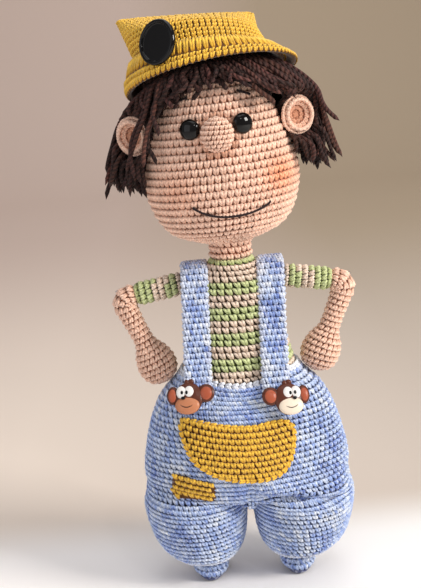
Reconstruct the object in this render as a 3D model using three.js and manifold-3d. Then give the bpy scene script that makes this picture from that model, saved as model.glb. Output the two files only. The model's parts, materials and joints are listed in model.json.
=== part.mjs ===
// A crocheted and stuffed boy doll in overalls and a cap, with wired arms.
// Millimetres, +Z up. The doll faces -Y, so its own left side is +X. It stands on the plane Z = 0.

import * as THREE from 'three';
import { mergeVertices } from 'three/addons/utils/BufferGeometryUtils.js';
import Module from 'manifold-3d';

const wasm = await Module();
wasm.setup();

// Sizes of the seams and skins
const seam = 0.3;                 // gap between pieces that are sewn or seated together
const skinThickness = 2.6;        // crocheted fabric

// Sizes of the neck
const neckRadius = 10.4;
const neckRise = 14;              // from the collar up to the centre of the nod
const neckBallRadius = 12;
const nodRange = 12;              // degrees each way
const neckPostRadius = 2;
const neckPostTop = 5;            // above the neck's ball

// Sizes of the head, with heights counted upwards from the last one
const headSink = 4;               // how far the head's underside hangs below the centre of the nod
const headLean = 3;               // degrees, towards the doll's right
const chinRadius = 20;
const chinRise = 3;
const jawRadius = 32;
const jawRise = 7.5;
const cheekRadius = 39;
const cheekRise = 20;
const templeRadius = 35.5;
const templeRise = 20;
const browRadius = 30.5;
const browRise = 16;
const crownRadius = 20.5;
const crownRise = 18.5;
const headTopRise = 9.5;
const headDepthShare = 0.93;      // depth over width

// Sizes of the face
const eyeRadius = 5;
const eyeSpacing = 26;
const eyeHeight = 60.5;           // above the head's underside
const eyeStandOff = 0.4;
const eyePostRadius = 1.6;
const eyePostLength = 11;
const washerRadius = 6;
const washerThickness = 2;
const noseWidth = 14.5;
const noseTall = 16;
const noseDeep = 13;
const noseHeight = 57;
const noseStandOff = 1.5;         // centre of the nose in front of the skin
const mouthThread = 1.1;
const mouthLeftReach = 21;
const mouthRightReach = 17;
const mouthHeight = 17;           // lowest point of the smile
const mouthCurl = 6;
const browThread = 1.4;
const browInnerReach = 11.5;
const browLength = 7;
const browHeight = 76;
const browDrop = 3.4;
const earHeight = 59.5;
const earRadius = 9.2;
const earReach = 41;              // centre of the ear from the middle of the head
const earForward = 6;
const earDepth = 5;
const earWall = 2.4;
const earTurn = 32;               // degrees, how far each cup opens outwards

// Sizes of the hair, over the head
const hairEnds = 27;              // lowest hair above the head's underside
const hairSpread = 56;            // half width at the ears
const hairBack = 50;              // reach behind the middle of the head
const hairPile = 3.7;             // thickness over the top of the head
const hairTopHalfWidth = 17;
const hairTopHalfDepth = 15;
const hairline = 79;              // lower edge of the fringe above the head's underside
const templeDrop = 17;            // how far the hair hangs below the fringe at each temple
const fringeDrop = 6;             // how far the fringe falls towards its ends
const fringePart = 4;             // the fringe parts a little towards the doll's left
const hairPartFront = 3;          // where the fringe meets the side hair, in front of the middle
const hairPartBack = 14;          // where the side hair meets the back hair
const lockCount = 11;             // notches between the hanging locks
const lockNotch = 9;
const lockReach = 30;             // length of each notch, from the outside inwards

// Sizes of the cap
const capHeight = 78.5;           // centre of its mouth above the centre of the nod
const capShift = 1.6;             // towards the doll's left
const capBackTilt = 18;           // degrees
const capSideTilt = 5;            // degrees
const capHalfWidth = 41;
const capHalfDepth = 33;
const capWall = 2.8;
const capRise = 34.5;             // from the mouth to the flat seam
const capSeamHalf = 34;           // half length of the flat seam
const capSeamShift = 7;           // the seam lies towards the doll's right
const capSeamSlope = 0.17;        // the right corner stands higher from the mouth
const capWaistHalfWidth = 34;
const capWaistHalfDepth = 30.5;
const capWaistRise = 11;
const capShoulderHalfDepth = 25;  // under the flat seam
const capShoulderShare = 0.7;     // of the way from the mouth to the seam
const bandThickness = 3.2;
const bandRise = 11;
const bandSlope = 0.11;
const capButtonRadius = 11.2;
const capButtonThickness = 3.4;
const capButtonRim = 1.8;
const capButtonSink = 1.1;
const capButtonTurn = 30;         // degrees round the crown, from the front to the doll's right
const capButtonTilt = 20;         // degrees more that it faces to the doll's right, loose on its thread
const capButtonDip = 8;           // degrees less that it faces upwards
const capButtonStandOff = 1.6;
const capButtonShare = 0.3;       // of the way from the cap's mouth to its flat seam

// Sizes of the torso
const shoulderRise = 47.5;        // from the waist up to the shoulder joints
const collarRise = 12.5;          // from the shoulders up to the top of the sweater
const shoulderHalfWidth = 31;     // from the middle to the shoulder joint
const torsoTopRadius = 11;
const yokeHalfWidth = 19.5;
const yokeHalfDepth = 14.5;
const chestHalfWidth = 22.5;
const chestHalfDepth = 17.5;
const chestDrop = 20;             // below the shoulders
const bellyHalfWidth = 29;
const bellyHalfDepth = 24;
const torsoTuck = 12;             // how far the torso reaches down into the overalls
const wireRadius = 0.9;

// Sizes of the arms
const armRadius = 5.4;
const upperArmLength = 29;
const sleeveLength = 20;
const armDroop = 9;               // degrees below level
const elbowBend = 104;            // degrees from straight
const forearmLength = 40;         // elbow to the middle of the hand
const wristRadius = 5.1;
const handRadius = 10;
const handHalfLength = 11.5;
const shoulderSeatRadius = 3.4;   // mouth of the torso's seat for the sleeve

// Sizes of the overalls
const hipsHalfWidth = 43;
const hipsHalfDepth = 31;
const hipsDrop = 12;              // below the waist, the top of the overalls
const seatHalfWidth = 54;
const seatHalfDepth = 36;
const crotchHeight = 51.5;
const seatRise = 18.5;            // from the crotch up to the widest of the seat
const waistRise = 46;             // from the seat up to the waist
const legHalfWidth = 26.8;
const legHalfDepth = 33;
const legCentre = 29.5;
const legBellyHeight = 42;
const calfHalfWidth = 21.5;
const calfHalfDepth = 27.5;
const calfHeight = 24;
const cuffHeight = 12;
const cuffHalfWidth = 12.2;
const cuffHalfDepth = 13.5;
const waistDip = 4;
const waistBand = 2.6;            // thickness of the overalls round the torso
const edgingThread = 2.4;

// Sizes of the feet
const footCentre = 24;
const footForward = 3.5;          // middle of the foot in front of the middle of the doll
const soleHalfWidth = 7;
const soleHalfLength = 12;
const footHalfWidth = 9.2;
const footHalfLength = 11.5;

// Sizes of the straps
const strapCentre = 19.8;
const bibShift = 2.4;             // the bib and the straps' feet sit towards the doll's right
const strapWidth = 13;
const strapThickness = 3;
const strapOverlap = 12;          // how far the strap's ends reach down the overalls
const strapRise = 8.5;            // over the middle of the shoulder

// Sizes of the trimmings
const pocketHalfWidth = 29;
const pocketTall = 32;
const pocketDrop = 18.5;          // from the waist down to the middle of the top edge
const pocketTilt = 5;             // degrees, the doll's right end is higher
const pocketThickness = 2.6;
const pocketEdging = 3;
const patchWidth = 21.6;
const patchTall = 13;
const patchCentre = -28.8;
const patchRise = 9.6;            // middle of the patch above the crotch
const patchThickness = 1.8;
const charmDrop = 6.5;            // middle of the moulded buttons below the waist
const charmTilt = 2;              // the button on the doll's right is this much higher, the other lower
const charmHalfWidth = 7.6;
const charmHalfTall = 9.6;
const charmDepth = 4.6;
const charmEarRadius = 4.2;
const charmEarReach = 8.6;
const charmMuzzle = 6.8;

const seatHeight = crotchHeight + seatRise;
const waistHeight = seatHeight + waistRise;
const shoulderHeight = waistHeight + shoulderRise;
const collarHeight = shoulderHeight + collarRise;

const yarn = (hex) => new THREE.MeshStandardMaterial({ color: hex, roughness: 0.95, metalness: 0 });
const gloss = (hex) => new THREE.MeshStandardMaterial({ color: hex, roughness: 0.25, metalness: 0 });
const skinYarn = () => yarn(0xe1b496);
const hairYarn = () => yarn(0x3c2828);
const capYarn = () => yarn(0xd7a532);
const sweaterYarn = () => yarn(0xa9b88a);
const denimYarn = () => yarn(0x96aad7);
const trimYarn = () => yarn(0xe6e6f0);
const filling = () => yarn(0xf4f1ea);
const steelWire = () => new THREE.MeshStandardMaterial({ color: 0xb4b4b8, roughness: 0.4, metalness: 1 });

const radians = THREE.MathUtils.degToRad;
const point = (x, y, z) => new THREE.Vector3(x, y, z);

// Solids

// Makes a solid of a closed geometry, without the doubled corners and the flat triangles at a pole.
function solidOf(geometry) {
  const bare = geometry.index ? geometry.toNonIndexed() : geometry.clone();
  bare.deleteAttribute('normal');
  bare.deleteAttribute('uv');
  const merged = mergeVertices(bare, 1e-4);
  const corners = merged.index.array;
  const kept = [];
  for (let i = 0; i < corners.length; i += 3) {
    const [a, b, c] = [corners[i], corners[i + 1], corners[i + 2]];
    if (a !== b && b !== c && c !== a) kept.push(a, b, c);
  }
  return new wasm.Manifold(new wasm.Mesh({
    numProp: 3,
    vertProperties: new Float32Array(merged.attributes.position.array),
    triVerts: new Uint32Array(kept),
  }));
}

function geometryOf(solid) {
  const mesh = solid.getMesh();
  const geometry = new THREE.BufferGeometry();
  geometry.setAttribute('position', new THREE.BufferAttribute(mesh.vertProperties, 3));
  geometry.setIndex(new THREE.BufferAttribute(mesh.triVerts, 1));
  geometry.computeVertexNormals();
  return geometry;
}

// The largest body of a cut, without the crumbs that it leaves.
const mainBody = (solid) => solid.decompose().sort((a, b) => b.volume() - a.volume())[0];

const join = (first, ...others) => others.reduce((sum, next) => sum.add(next), first);
const cut = (first, ...others) => others.reduce((rest, next) => rest.subtract(next), first);

// A body of revolution about Z, through [radius, height] points from its foot to its top.
function turned(profile, sides = 20) {
  const points = profile.map(([r, z]) => new THREE.Vector2(r, z));
  return new THREE.LatheGeometry(points, sides).rotateX(Math.PI / 2);
}

// Smooth [radius, height] points through a few given ones.
function flowing(profile, steps) {
  const curve = new THREE.SplineCurve(profile.map(([r, z]) => new THREE.Vector2(r, z)));
  return curve.getPoints(steps).map((p) => [Math.max(p.x, 0), p.y]);
}

function ball(radius, x, y, z, sides = 16) {
  return new THREE.SphereGeometry(radius, sides, sides / 2).translate(x, y, z);
}

function rod(radius, from, to, sides = 8) {
  const along = to.clone().sub(from);
  const geometry = new THREE.CylinderGeometry(radius, radius, along.length(), sides);
  const turn = new THREE.Quaternion().setFromUnitVectors(point(0, 1, 0), along.clone().normalize());
  return geometry.applyQuaternion(turn).translate(...from.clone().add(to).multiplyScalar(0.5).toArray());
}

function block(low, high) {
  const size = high.clone().sub(low);
  const middle = low.clone().add(high).multiplyScalar(0.5);
  return new THREE.BoxGeometry(size.x, size.y, size.z).translate(...middle.toArray());
}

// Skins a closed body over rings of points, each as long as the last, with a fan over each end.
function skinned(rings) {
  const sides = rings[0].length;
  const middle = (ring) => ring.reduce((sum, p) => sum.add(p), point(0, 0, 0)).multiplyScalar(1 / sides);
  const corners = [...rings.flat(), middle(rings[0]), middle(rings[rings.length - 1])];
  const foot = rings.length * sides;
  const faces = [];
  for (let side = 0; side < sides; side++) {
    const next = (side + 1) % sides;
    for (let level = 0; level + 1 < rings.length; level++) {
      const [a, b] = [level * sides + side, level * sides + next];
      faces.push(a, b, b + sides, a, b + sides, a + sides);
    }
    const top = foot - sides;
    faces.push(foot, next, side, foot + 1, top + side, top + next);
  }
  const geometry = new THREE.BufferGeometry().setFromPoints(corners);
  geometry.setIndex(faces);
  return geometry;
}

// An oval ring: x, y, z of its middle, half width and half depth, and a slope along X.
function ovalRing({ x = 0, y = 0, z, slope = 0, wide, deep }, sides) {
  return Array.from({ length: sides }, (_, i) => {
    const angle = (2 * Math.PI * i) / sides;
    const across = wide * Math.cos(angle);
    return point(x + across, y + deep * Math.sin(angle), z + slope * across);
  });
}

// Reads smooth rings between a few given ones, at a share of the way from the foot to the top.
function ringReader(keys) {
  const size = new THREE.CatmullRomCurve3(keys.map((k) => point(k.wide, k.deep, k.z)), false, 'centripetal');
  const place = new THREE.CatmullRomCurve3(
    keys.map((k) => point(k.x ?? 0, k.y ?? 0, k.slope ?? 0)), false, 'catmullrom', 0.5);
  return (share) => {
    const [s, p] = [size.getPoint(share), place.getPoint(share)];
    return { x: p.x, y: p.y, slope: p.z, z: s.z, wide: s.x, deep: s.y };
  };
}

// A stuffed body over a few oval rings, from the foot to the top.
function stuffed(keys, steps, sides = 26) {
  const ringAt = ringReader(keys);
  return skinned(Array.from({ length: steps + 1 }, (_, i) => ovalRing(ringAt(i / steps), sides)));
}

// Sets a flat piece, which faces +Z, on a stuffed body at a share of its height and an angle round it.
function setOn(geometry, keys, share, angle, standOff) {
  const ringAt = ringReader(keys);
  const skinPoint = (up, round) => {
    const { x, y, z, slope, wide, deep } = ringAt(share + up);
    const across = wide * Math.cos(angle + round);
    return point(x + across, y + deep * Math.sin(angle + round), z + slope * across);
  };
  const spot = skinPoint(0, 0);
  const round = skinPoint(0, 0.1).sub(skinPoint(0, -0.1));
  const facing = round.cross(skinPoint(0.05, 0).sub(skinPoint(-0.05, 0))).normalize();
  const turn = new THREE.Quaternion().setFromUnitVectors(point(0, 0, 1), facing);
  return geometry.applyQuaternion(turn).translate(...spot.addScaledVector(facing, standOff).toArray());
}

const grown = (keys, by) => keys.map((k) => ({ ...k, wide: k.wide + by, deep: k.deep + by }));

// A flat outline in the XZ plane, run through from one Y to another.
function cutter(outline, nearY, farY) {
  const shape = new THREE.Shape(outline.map(([x, z]) => new THREE.Vector2(x, z)));
  const geometry = new THREE.ExtrudeGeometry(shape, { depth: farY - nearY, bevelEnabled: false });
  return geometry.rotateX(Math.PI / 2).translate(0, farY, 0);
}

// A round thread along points.
function thread(radius, points, steps, sides = 6) {
  const section = new THREE.Shape().absarc(0, 0, radius, 0, 2 * Math.PI);
  return new THREE.ExtrudeGeometry(section, {
    steps, bevelEnabled: false, curveSegments: sides / 2,
    extrudePath: new THREE.CatmullRomCurve3(points),
  });
}

const far = 200;                  // past the edge of everything
const gap = seam / 2;

const doll = new THREE.Group();
const headGroup = new THREE.Group();
const capGroup = new THREE.Group();
doll.add(headGroup);
headGroup.add(capGroup);

function piece(group, name, shape, material) {
  const mesh = new THREE.Mesh(shape.isBufferGeometry ? shape : geometryOf(shape), material);
  mesh.name = name;
  group.add(mesh);
  return mesh;
}

// Head, in its own frame with the centre of the nod at the origin

const headFoot = -headSink;
const jawHeight = headFoot + chinRise + jawRise;
const cheekHeight = jawHeight + cheekRise;
const templeHeight = cheekHeight + templeRise;
const browLevel = templeHeight + browRise;
const crownHeight = browLevel + crownRise;
const headTop = crownHeight + headTopRise;

const headProfile = flowing([
  [0, headFoot], [chinRadius, headFoot + chinRise], [jawRadius, jawHeight], [cheekRadius, cheekHeight],
  [templeRadius, templeHeight], [browRadius, browLevel], [crownRadius, crownHeight], [0, headTop],
], 14);

// The head's radius at a height, read off its profile.
function headRadius(height) {
  const above = headProfile.findIndex(([, z]) => z > height);
  const [[r0, z0], [r1, z1]] = [headProfile[above - 1], headProfile[above]];
  return THREE.MathUtils.mapLinear(height, z0, z1, r0, r1);
}

const faceDepth = (x, z, off = 0) => -headDepthShare * Math.sqrt(Math.max(headRadius(z) ** 2 - x * x, 0)) - off;

function headShape(off, sides = 28) {
  const wider = headProfile.map(([r, z], i) => {
    const inside = i > 0 && i < headProfile.length - 1;
    return [inside ? r + off : 0, z + (i === 0 ? -off : 0) + (i === headProfile.length - 1 ? off : 0)];
  });
  return turned(wider, sides).scale(1, headDepthShare, 1);
}

const headSolid = solidOf(headShape(0));
const headCavity = solidOf(headShape(-skinThickness, 16));
const neckSeat = solidOf(ball(neckBallRadius + seam, 0, 0, 0, 18));

// Room for the neck at every angle of the nod.
const nodRoom = [-1, 0, 1].map((share) => {
  const end = point(0, 0, -neckRise).applyAxisAngle(point(1, 0, 0), radians(share * nodRange));
  return solidOf(rod(neckRadius + seam, point(0, 0, 0), end, 18));
});

const eyeX = eyeSpacing / 2;
const eyeZ = headFoot + eyeHeight;
const eyeY = faceDepth(eyeX, eyeZ);
const eyeSides = [['left', 1], ['right', -1]];

// Everything of an eye turns to face out of the skin, a little upwards where the forehead falls back.
function eyeFrame(geometry, side) {
  const turn = Math.atan2(eyeX, -eyeY / headDepthShare ** 2);
  const lift = Math.atan((headRadius(eyeZ - eyeRadius) - headRadius(eyeZ + eyeRadius)) / (2 * eyeRadius));
  return geometry.rotateX(-lift).rotateZ(side * turn).translate(side * eyeX, eyeY, eyeZ);
}

const postHole = (side) => solidOf(eyeFrame(
  rod(eyePostRadius + seam / 2, point(0, -eyeRadius, 0), point(0, skinThickness + 2 * seam, 0)), side));
const eyePiece = (side) => {
  const dome = turned([[0, 0], [eyeRadius * 0.98, 0], [eyeRadius, 0.6], [eyeRadius * 0.86, 2.4],
    [eyeRadius * 0.5, 3.9], [0, 4.5]], 16).rotateX(Math.PI / 2).translate(0, -seam - eyeStandOff, 0);
  const post = rod(eyePostRadius, point(0, -eyeStandOff - 1, 0), point(0, eyePostLength - eyeStandOff, 0));
  return join(solidOf(eyeFrame(dome, side)), solidOf(eyeFrame(post, side)));
};
const washerBack = skinThickness + 3 * seam;
const washerDisc = () => rod(washerRadius, point(0, washerBack, 0), point(0, washerBack + washerThickness, 0), 14);
const washer = (side) => cut(
  solidOf(eyeFrame(washerDisc(), side)),
  solidOf(eyeFrame(rod(eyePostRadius + seam / 2, point(0, 0, 0), point(0, eyePostLength, 0)), side)));
const washerRoom = (side) => solidOf(eyeFrame(
  rod(washerRadius + seam, point(0, 0, 0), point(0, eyePostLength + seam, 0), 14), side));

const headHoles = eyeSides.map(([, side]) => postHole(side));
const washerBeds = eyeSides.map(([, side]) => solidOf(eyeFrame(
  rod(washerRadius + seam, point(0, washerBack - seam, 0), point(0, washerBack + 3, 0), 14), side)));
piece(headGroup, 'head', cut(headSolid, headCavity, neckSeat, ...nodRoom, ...headHoles, ...washerBeds), skinYarn());

const headCore = solidOf(headShape(-skinThickness - seam, 16));
const postReach = neckBallRadius + neckPostTop;
const postRoom = solidOf(rod(neckPostRadius + 4, point(0, 0, 0), point(0, 0, postReach + 4), 12));
piece(headGroup, 'head_filling', cut(
  headCore, solidOf(ball(neckBallRadius + 2 * seam, 0, 0, 0, 14)), postRoom,
  ...eyeSides.map(([, side]) => washerRoom(side)),
), filling());

for (const [name, side] of eyeSides) {
  piece(headGroup, `eye_${name}`, eyePiece(side), gloss(0x0c0a0a));
  piece(headGroup, `eye_washer_${name}`, washer(side), gloss(0xf0f0ea));
}

const headGrown = solidOf(headShape(seam));
const noseY = faceDepth(0, headFoot + noseHeight) - noseStandOff;
const noseShape = (off) => new THREE.SphereGeometry(1, 16, 10)
  .scale(noseWidth / 2 + off, noseDeep / 2 + off, noseTall / 2 + off).translate(0, noseY, headFoot + noseHeight);
piece(headGroup, 'nose', cut(solidOf(noseShape(0)), headGrown), skinYarn());

// Embroidery lies on the skin.
const onFace = (x, z, radius) => point(x, faceDepth(x, z, radius + seam), z);
const mouthPoints = Array.from({ length: 9 }, (_, i) => {
  const x = THREE.MathUtils.lerp(-mouthRightReach, mouthLeftReach, i / 8);
  const share = x < 0 ? x / mouthRightReach : x / mouthLeftReach;
  return onFace(x, headFoot + mouthHeight + mouthCurl * share * share, mouthThread / 2);
});
piece(headGroup, 'mouth', solidOf(thread(mouthThread / 2, mouthPoints, 20)), yarn(0x3a2424));
for (const [name, side] of eyeSides) {
  const browPoints = [0, 0.5, 1].map((share) => onFace(
    side * (browInnerReach + browLength * share), headFoot + browHeight - browDrop * share * share, browThread / 2));
  piece(headGroup, `eyebrow_${name}`, solidOf(thread(browThread / 2, browPoints, 6)), yarn(0x3a2424));
}

// Ears, each a cup that opens forwards and outwards

const earFrame = (geometry, side) => geometry.rotateX(Math.PI / 2).rotateZ(side * radians(earTurn))
  .translate(side * earReach, -earForward, headFoot + earHeight);
function earCup(off) {
  const lip = earRadius - earWall;
  return turned([
    [0, -earDepth / 2 - off], [earRadius * 0.55, -earDepth / 2 - off], [earRadius + off, 0],
    [earRadius * 0.98 + off, earDepth / 2 + off], [lip + earWall / 3 - off, earDepth / 2 + off],
    [lip * 0.75, earDepth / 4 + off], [0, off],
  ], 18);
}
const earRooms = [];
for (const [name, side] of eyeSides) {
  const cup = solidOf(earFrame(earCup(0), side));
  piece(headGroup, `ear_${name}`, cut(cup, headGrown), skinYarn());
  earRooms.push(solidOf(earFrame(new THREE.CylinderGeometry(
    earRadius + 2, earRadius + 2, earDepth + 2, 12).rotateX(Math.PI / 2), side)));
}

// Cap, in its own frame with the middle of its mouth at the origin

const capKeys = [
  { z: 0, wide: capHalfWidth, deep: capHalfDepth },
  { x: -2, z: capWaistRise, slope: -bandSlope, wide: capWaistHalfWidth, deep: capWaistHalfDepth },
  {
    x: -capSeamShift * 0.8, z: capRise * capShoulderShare, slope: -capSeamSlope * 0.8,
    wide: capSeamHalf - 1, deep: capShoulderHalfDepth,
  },
  { x: -capSeamShift, z: capRise, slope: -capSeamSlope, wide: capSeamHalf, deep: capWall + 0.8 },
];
const hollowKeys = (off) => capKeys.map((k, i) => ({
  ...k, z: k.z - (i === 3 ? capWall + 1 + off : 0),
  wide: k.wide - capWall - off, deep: Math.max(k.deep - capWall - off, 0.6),
}));
const mouthDrop = 3;
const capSteps = 9;
const bandSteps = 5;
const openDown = (keys) => [{ ...keys[0], z: -mouthDrop }, ...keys];

const capOuter = solidOf(stuffed(capKeys, capSteps));
const capHollow = solidOf(stuffed(openDown(hollowKeys(0)), capSteps));
piece(capGroup, 'cap_crown', cut(capOuter, capHollow), capYarn());

const bandKeys = (off) => [
  { z: -seam, wide: capHalfWidth + off, deep: capHalfDepth + off },
  {
    x: -0.8, z: bandRise * 0.35, slope: -bandSlope * 0.4,
    wide: capHalfWidth - 1.6 + off, deep: capHalfDepth - 0.8 + off,
  },
  { x: -2, z: bandRise, slope: -bandSlope, wide: capWaistHalfWidth + off, deep: capWaistHalfDepth + off },
];
const bandOuter = solidOf(stuffed(bandKeys(bandThickness + seam), bandSteps));
const capPlug = (off, low) => stuffed([
  { ...capKeys[0], z: low, wide: capHalfWidth + off, deep: capHalfDepth + off },
  { ...capKeys[0], z: 0.1, wide: capHalfWidth + off, deep: capHalfDepth + off }], 1);
const capGrown = join(solidOf(stuffed(grown(capKeys, seam), capSteps)), solidOf(capPlug(seam, -mouthDrop)));
piece(capGroup, 'cap_band', cut(bandOuter, capGrown), capYarn());

const buttonDisc = turned([
  [0, 0], [capButtonRadius * 0.9, 0], [capButtonRadius, capButtonThickness / 2],
  [capButtonRadius * 0.95, capButtonThickness], [capButtonRadius - capButtonRim, capButtonThickness],
  [capButtonRadius - capButtonRim - 0.6, capButtonThickness - capButtonSink], [0, capButtonThickness - capButtonSink],
], 22).rotateX(radians(capButtonDip)).rotateY(-radians(capButtonTilt));
const buttonAngle = -Math.PI / 2 - radians(capButtonTurn);
const capButton = solidOf(setOn(buttonDisc, capKeys, capButtonShare, buttonAngle, capButtonStandOff));
const bandGrown = grown(bandKeys(bandThickness + seam), seam);
piece(capGroup, 'cap_button', cut(capButton, capGrown, solidOf(stuffed(bandGrown, bandSteps))), gloss(0x14100f));

capGroup.position.set(capShift, 0, capHeight);
capGroup.rotation.set(-radians(capBackTilt), -radians(capSideTilt), 0, 'YXZ');
capGroup.updateMatrix();
const inCapFrame = (geometry) => solidOf(geometry.applyMatrix4(capGroup.matrix));

// Hair: one mass over the head, parted into back, fringe and two sides

const hairKeys = [
  { y: 5, z: headFoot + hairEnds, wide: hairSpread - 3, deep: hairBack - 6 },
  { y: 5, z: headFoot + hairEnds + 14, wide: hairSpread, deep: hairBack - 5 },
  { y: 4, z: headFoot + earHeight, wide: hairSpread - 4, deep: hairBack - 8 },
  { y: 1, z: headFoot + earHeight + 15, wide: capHalfWidth + 4, deep: capHalfDepth + 2 },
  { y: 0, z: crownHeight + 3, wide: capHalfWidth - 6, deep: capHalfDepth - 5 },
  { y: 0, z: headTop + hairPile - 2, wide: hairTopHalfWidth, deep: hairTopHalfDepth },
  { y: 0, z: headTop + hairPile, wide: hairPile, deep: hairPile },
];
const hairMass = solidOf(stuffed(hairKeys, 8, 24));
const capRoom = inCapFrame(stuffed([{ ...bandGrown[0], z: -2 * seam }, { ...bandGrown[0], z: 2 * capRise }], 1));
const underCap = inCapFrame(stuffed(openDown(hollowKeys(seam)), capSteps));
const hairlineHeight = headFoot + hairline;
const [fringeEnd, templeEnd] = [hairlineHeight - fringeDrop, hairlineHeight - templeDrop];
const faceOpening = solidOf(cutter([
  [-2 * hairSpread, headFoot - headSink], [2 * hairSpread, headFoot - headSink], [2 * hairSpread, fringeEnd],
  [templeRadius + 1, fringeEnd], [browRadius + 1.5, templeEnd], [crownRadius + 4, fringeEnd],
  [3 * fringePart, hairlineHeight - 1], [fringePart, hairlineHeight + 2], [-2 * fringePart, hairlineHeight],
  [-crownRadius - 4, fringeEnd + 1], [-browRadius - 1.5, templeEnd], [-templeRadius - 1, fringeEnd],
  [-2 * hairSpread, fringeEnd],
], -2 * hairBack, -hairPartFront));

const notches = Array.from({ length: lockCount }, (_, i) => {
  const angle = THREE.MathUtils.lerp(-0.12, Math.PI + 0.12, (i + 0.5) / lockCount);
  const wedge = new THREE.CylinderGeometry(lockNotch / 2, lockNotch / 2, lockReach, 3).rotateZ(Math.PI / 2);
  return solidOf(wedge.translate(hairSpread - lockReach / 5, 0, 0).rotateZ(angle)
    .translate(0, 0, headFoot + hairEnds + (i % 2 ? 0.5 : 2)));
});
const hair = cut(join(hairMass.subtract(capRoom), hairMass.intersect(underCap)),
  headGrown, faceOpening, ...earRooms, ...notches);
const hairParts = {
  hair_fringe: block(point(-far, -far, -far), point(far, -hairPartFront - gap, far)),
  hair_left: block(point(gap, -hairPartFront + gap, -far), point(far, hairPartBack - gap, far)),
  hair_right: block(point(-far, -hairPartFront + gap, -far), point(-gap, hairPartBack - gap, far)),
  hair_back: block(point(-far, hairPartBack + gap, -far), point(far, far, far)),
};
for (const [name, share] of Object.entries(hairParts)) {
  piece(headGroup, name, mainBody(hair.intersect(solidOf(share))), hairYarn());
}

const nodHeight = collarHeight + neckRise;
headGroup.position.set(0, 0, nodHeight);
headGroup.rotation.y = -radians(headLean);

// Neck with its stiffening post

const neckColumn = join(
  solidOf(rod(neckRadius, point(0, 0, collarHeight + seam), point(0, 0, nodHeight), 18)),
  solidOf(ball(neckBallRadius, 0, 0, nodHeight, 18)));
const postBore = solidOf(rod(neckPostRadius + seam, point(0, 0, collarHeight - 1), point(0, 0, far + nodHeight)));
piece(doll, 'neck', cut(neckColumn, postBore,
  solidOf(block(point(-far, -far, -far), point(far, far, collarHeight + seam)))), skinYarn());
piece(doll, 'neck_post', solidOf(rod(neckPostRadius, point(0, 0, collarHeight + seam),
  point(0, 0, nodHeight + postReach))), steelWire());

// Torso, a sweater skin over its filling

const torsoKeys = [
  { z: waistHeight - torsoTuck, wide: bellyHalfWidth - 3, deep: bellyHalfDepth - 2 },
  { z: waistHeight + 1, wide: bellyHalfWidth, deep: bellyHalfDepth },
  { z: shoulderHeight - chestDrop, wide: chestHalfWidth, deep: chestHalfDepth },
  { z: shoulderHeight, wide: yokeHalfWidth, deep: yokeHalfDepth },
  { z: collarHeight - 3, wide: torsoTopRadius + 1.5, deep: torsoTopRadius + 1 },
  { z: collarHeight, wide: torsoTopRadius, deep: torsoTopRadius },
];
const seatBallRadius = armRadius + seam;
const seatDepth = Math.sqrt(seatBallRadius ** 2 - shoulderSeatRadius ** 2);
const shoulderReach = shoulderHalfWidth - seatDepth;
const shoulderCone = (side) => solidOf(turned([
  [0, 0], [armRadius + 1.5, 0], [armRadius, shoulderReach - 5], [shoulderSeatRadius, shoulderReach], [0, shoulderReach],
], 14).rotateY(side * Math.PI / 2).translate(0, 0, shoulderHeight));
const shoulderSeat = (side) => solidOf(ball(seatBallRadius, side * shoulderHalfWidth, 0, shoulderHeight, 14));
const wireBore = (from, to) => solidOf(rod(wireRadius + seam, from, to, 6));
const wireAcross = shoulderReach - 2;
const torsoSteps = 10;
const torsoOuter = cut(join(solidOf(stuffed(torsoKeys, torsoSteps)), shoulderCone(1), shoulderCone(-1)),
  shoulderSeat(1), shoulderSeat(-1));
const torsoInner = (off) => solidOf(stuffed(grown(torsoKeys.map((k, i) => ({
  ...k, z: k.z - (i === torsoKeys.length - 1 ? off + skinThickness : 0),
})), -skinThickness - off), 6, 16));
const torsoOpen = join(torsoInner(0), solidOf(rod(bellyHalfDepth - 6, point(0, 0, waistHeight - torsoTuck - 2),
  point(0, 0, waistHeight), 12)));
const shoulderBore = wireBore(point(-far, 0, shoulderHeight), point(far, 0, shoulderHeight));
piece(doll, 'torso', cut(torsoOuter, torsoOpen, shoulderBore), sweaterYarn());
piece(doll, 'torso_filling', cut(torsoInner(seam), shoulderBore), filling());
piece(doll, 'shoulder_wire', solidOf(rod(wireRadius, point(-wireAcross, 0, shoulderHeight),
  point(wireAcross, 0, shoulderHeight), 6)), steelWire());

// Arms, built along +X from the shoulder and turned half round for the right side

const alongX = (profile, sides) => turned(profile, sides).rotateY(Math.PI / 2);
const forearmProfile = (off) => [
  ...flowing([
    [armRadius + off, 0], [armRadius * 0.98 + off, forearmLength * 0.3], [wristRadius + off, forearmLength * 0.56],
    [wristRadius + 2 + off, forearmLength - handHalfLength * 0.9], [handRadius + off, forearmLength],
    [handRadius * 0.72 + off, forearmLength + handHalfLength * 0.75],
  ], 9), [handRadius * 0.3, forearmLength + handHalfLength + off], [0, forearmLength + handHalfLength + off],
];
const handTurn = new THREE.Matrix4().makeRotationY(radians(elbowBend)).setPosition(upperArmLength, 0, 0);
const elbowRoom = join(
  solidOf(alongX([[0, 0], ...forearmProfile(seam)], 16).applyMatrix4(handTurn)),
  solidOf(ball(armRadius + seam, upperArmLength, 0, 0)));
const wireRoom = wireBore(point(-far, 0, 0), point(far, 0, 0));
const sleeve = cut(join(
  solidOf(rod(armRadius, point(0, 0, 0), point(sleeveLength - seam, 0, 0), 16)),
  solidOf(ball(armRadius, 0, 0, 0))), wireRoom);
const elbow = cut(solidOf(rod(armRadius, point(sleeveLength, 0, 0), point(upperArmLength, 0, 0), 16)), elbowRoom);
const forearm = cut(join(solidOf(alongX([[0, 0], ...forearmProfile(0)], 16)), solidOf(ball(armRadius, 0, 0, 0))),
  wireBore(point(-far, 0, 0), point(forearmLength + seam, 0, 0)));
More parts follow.
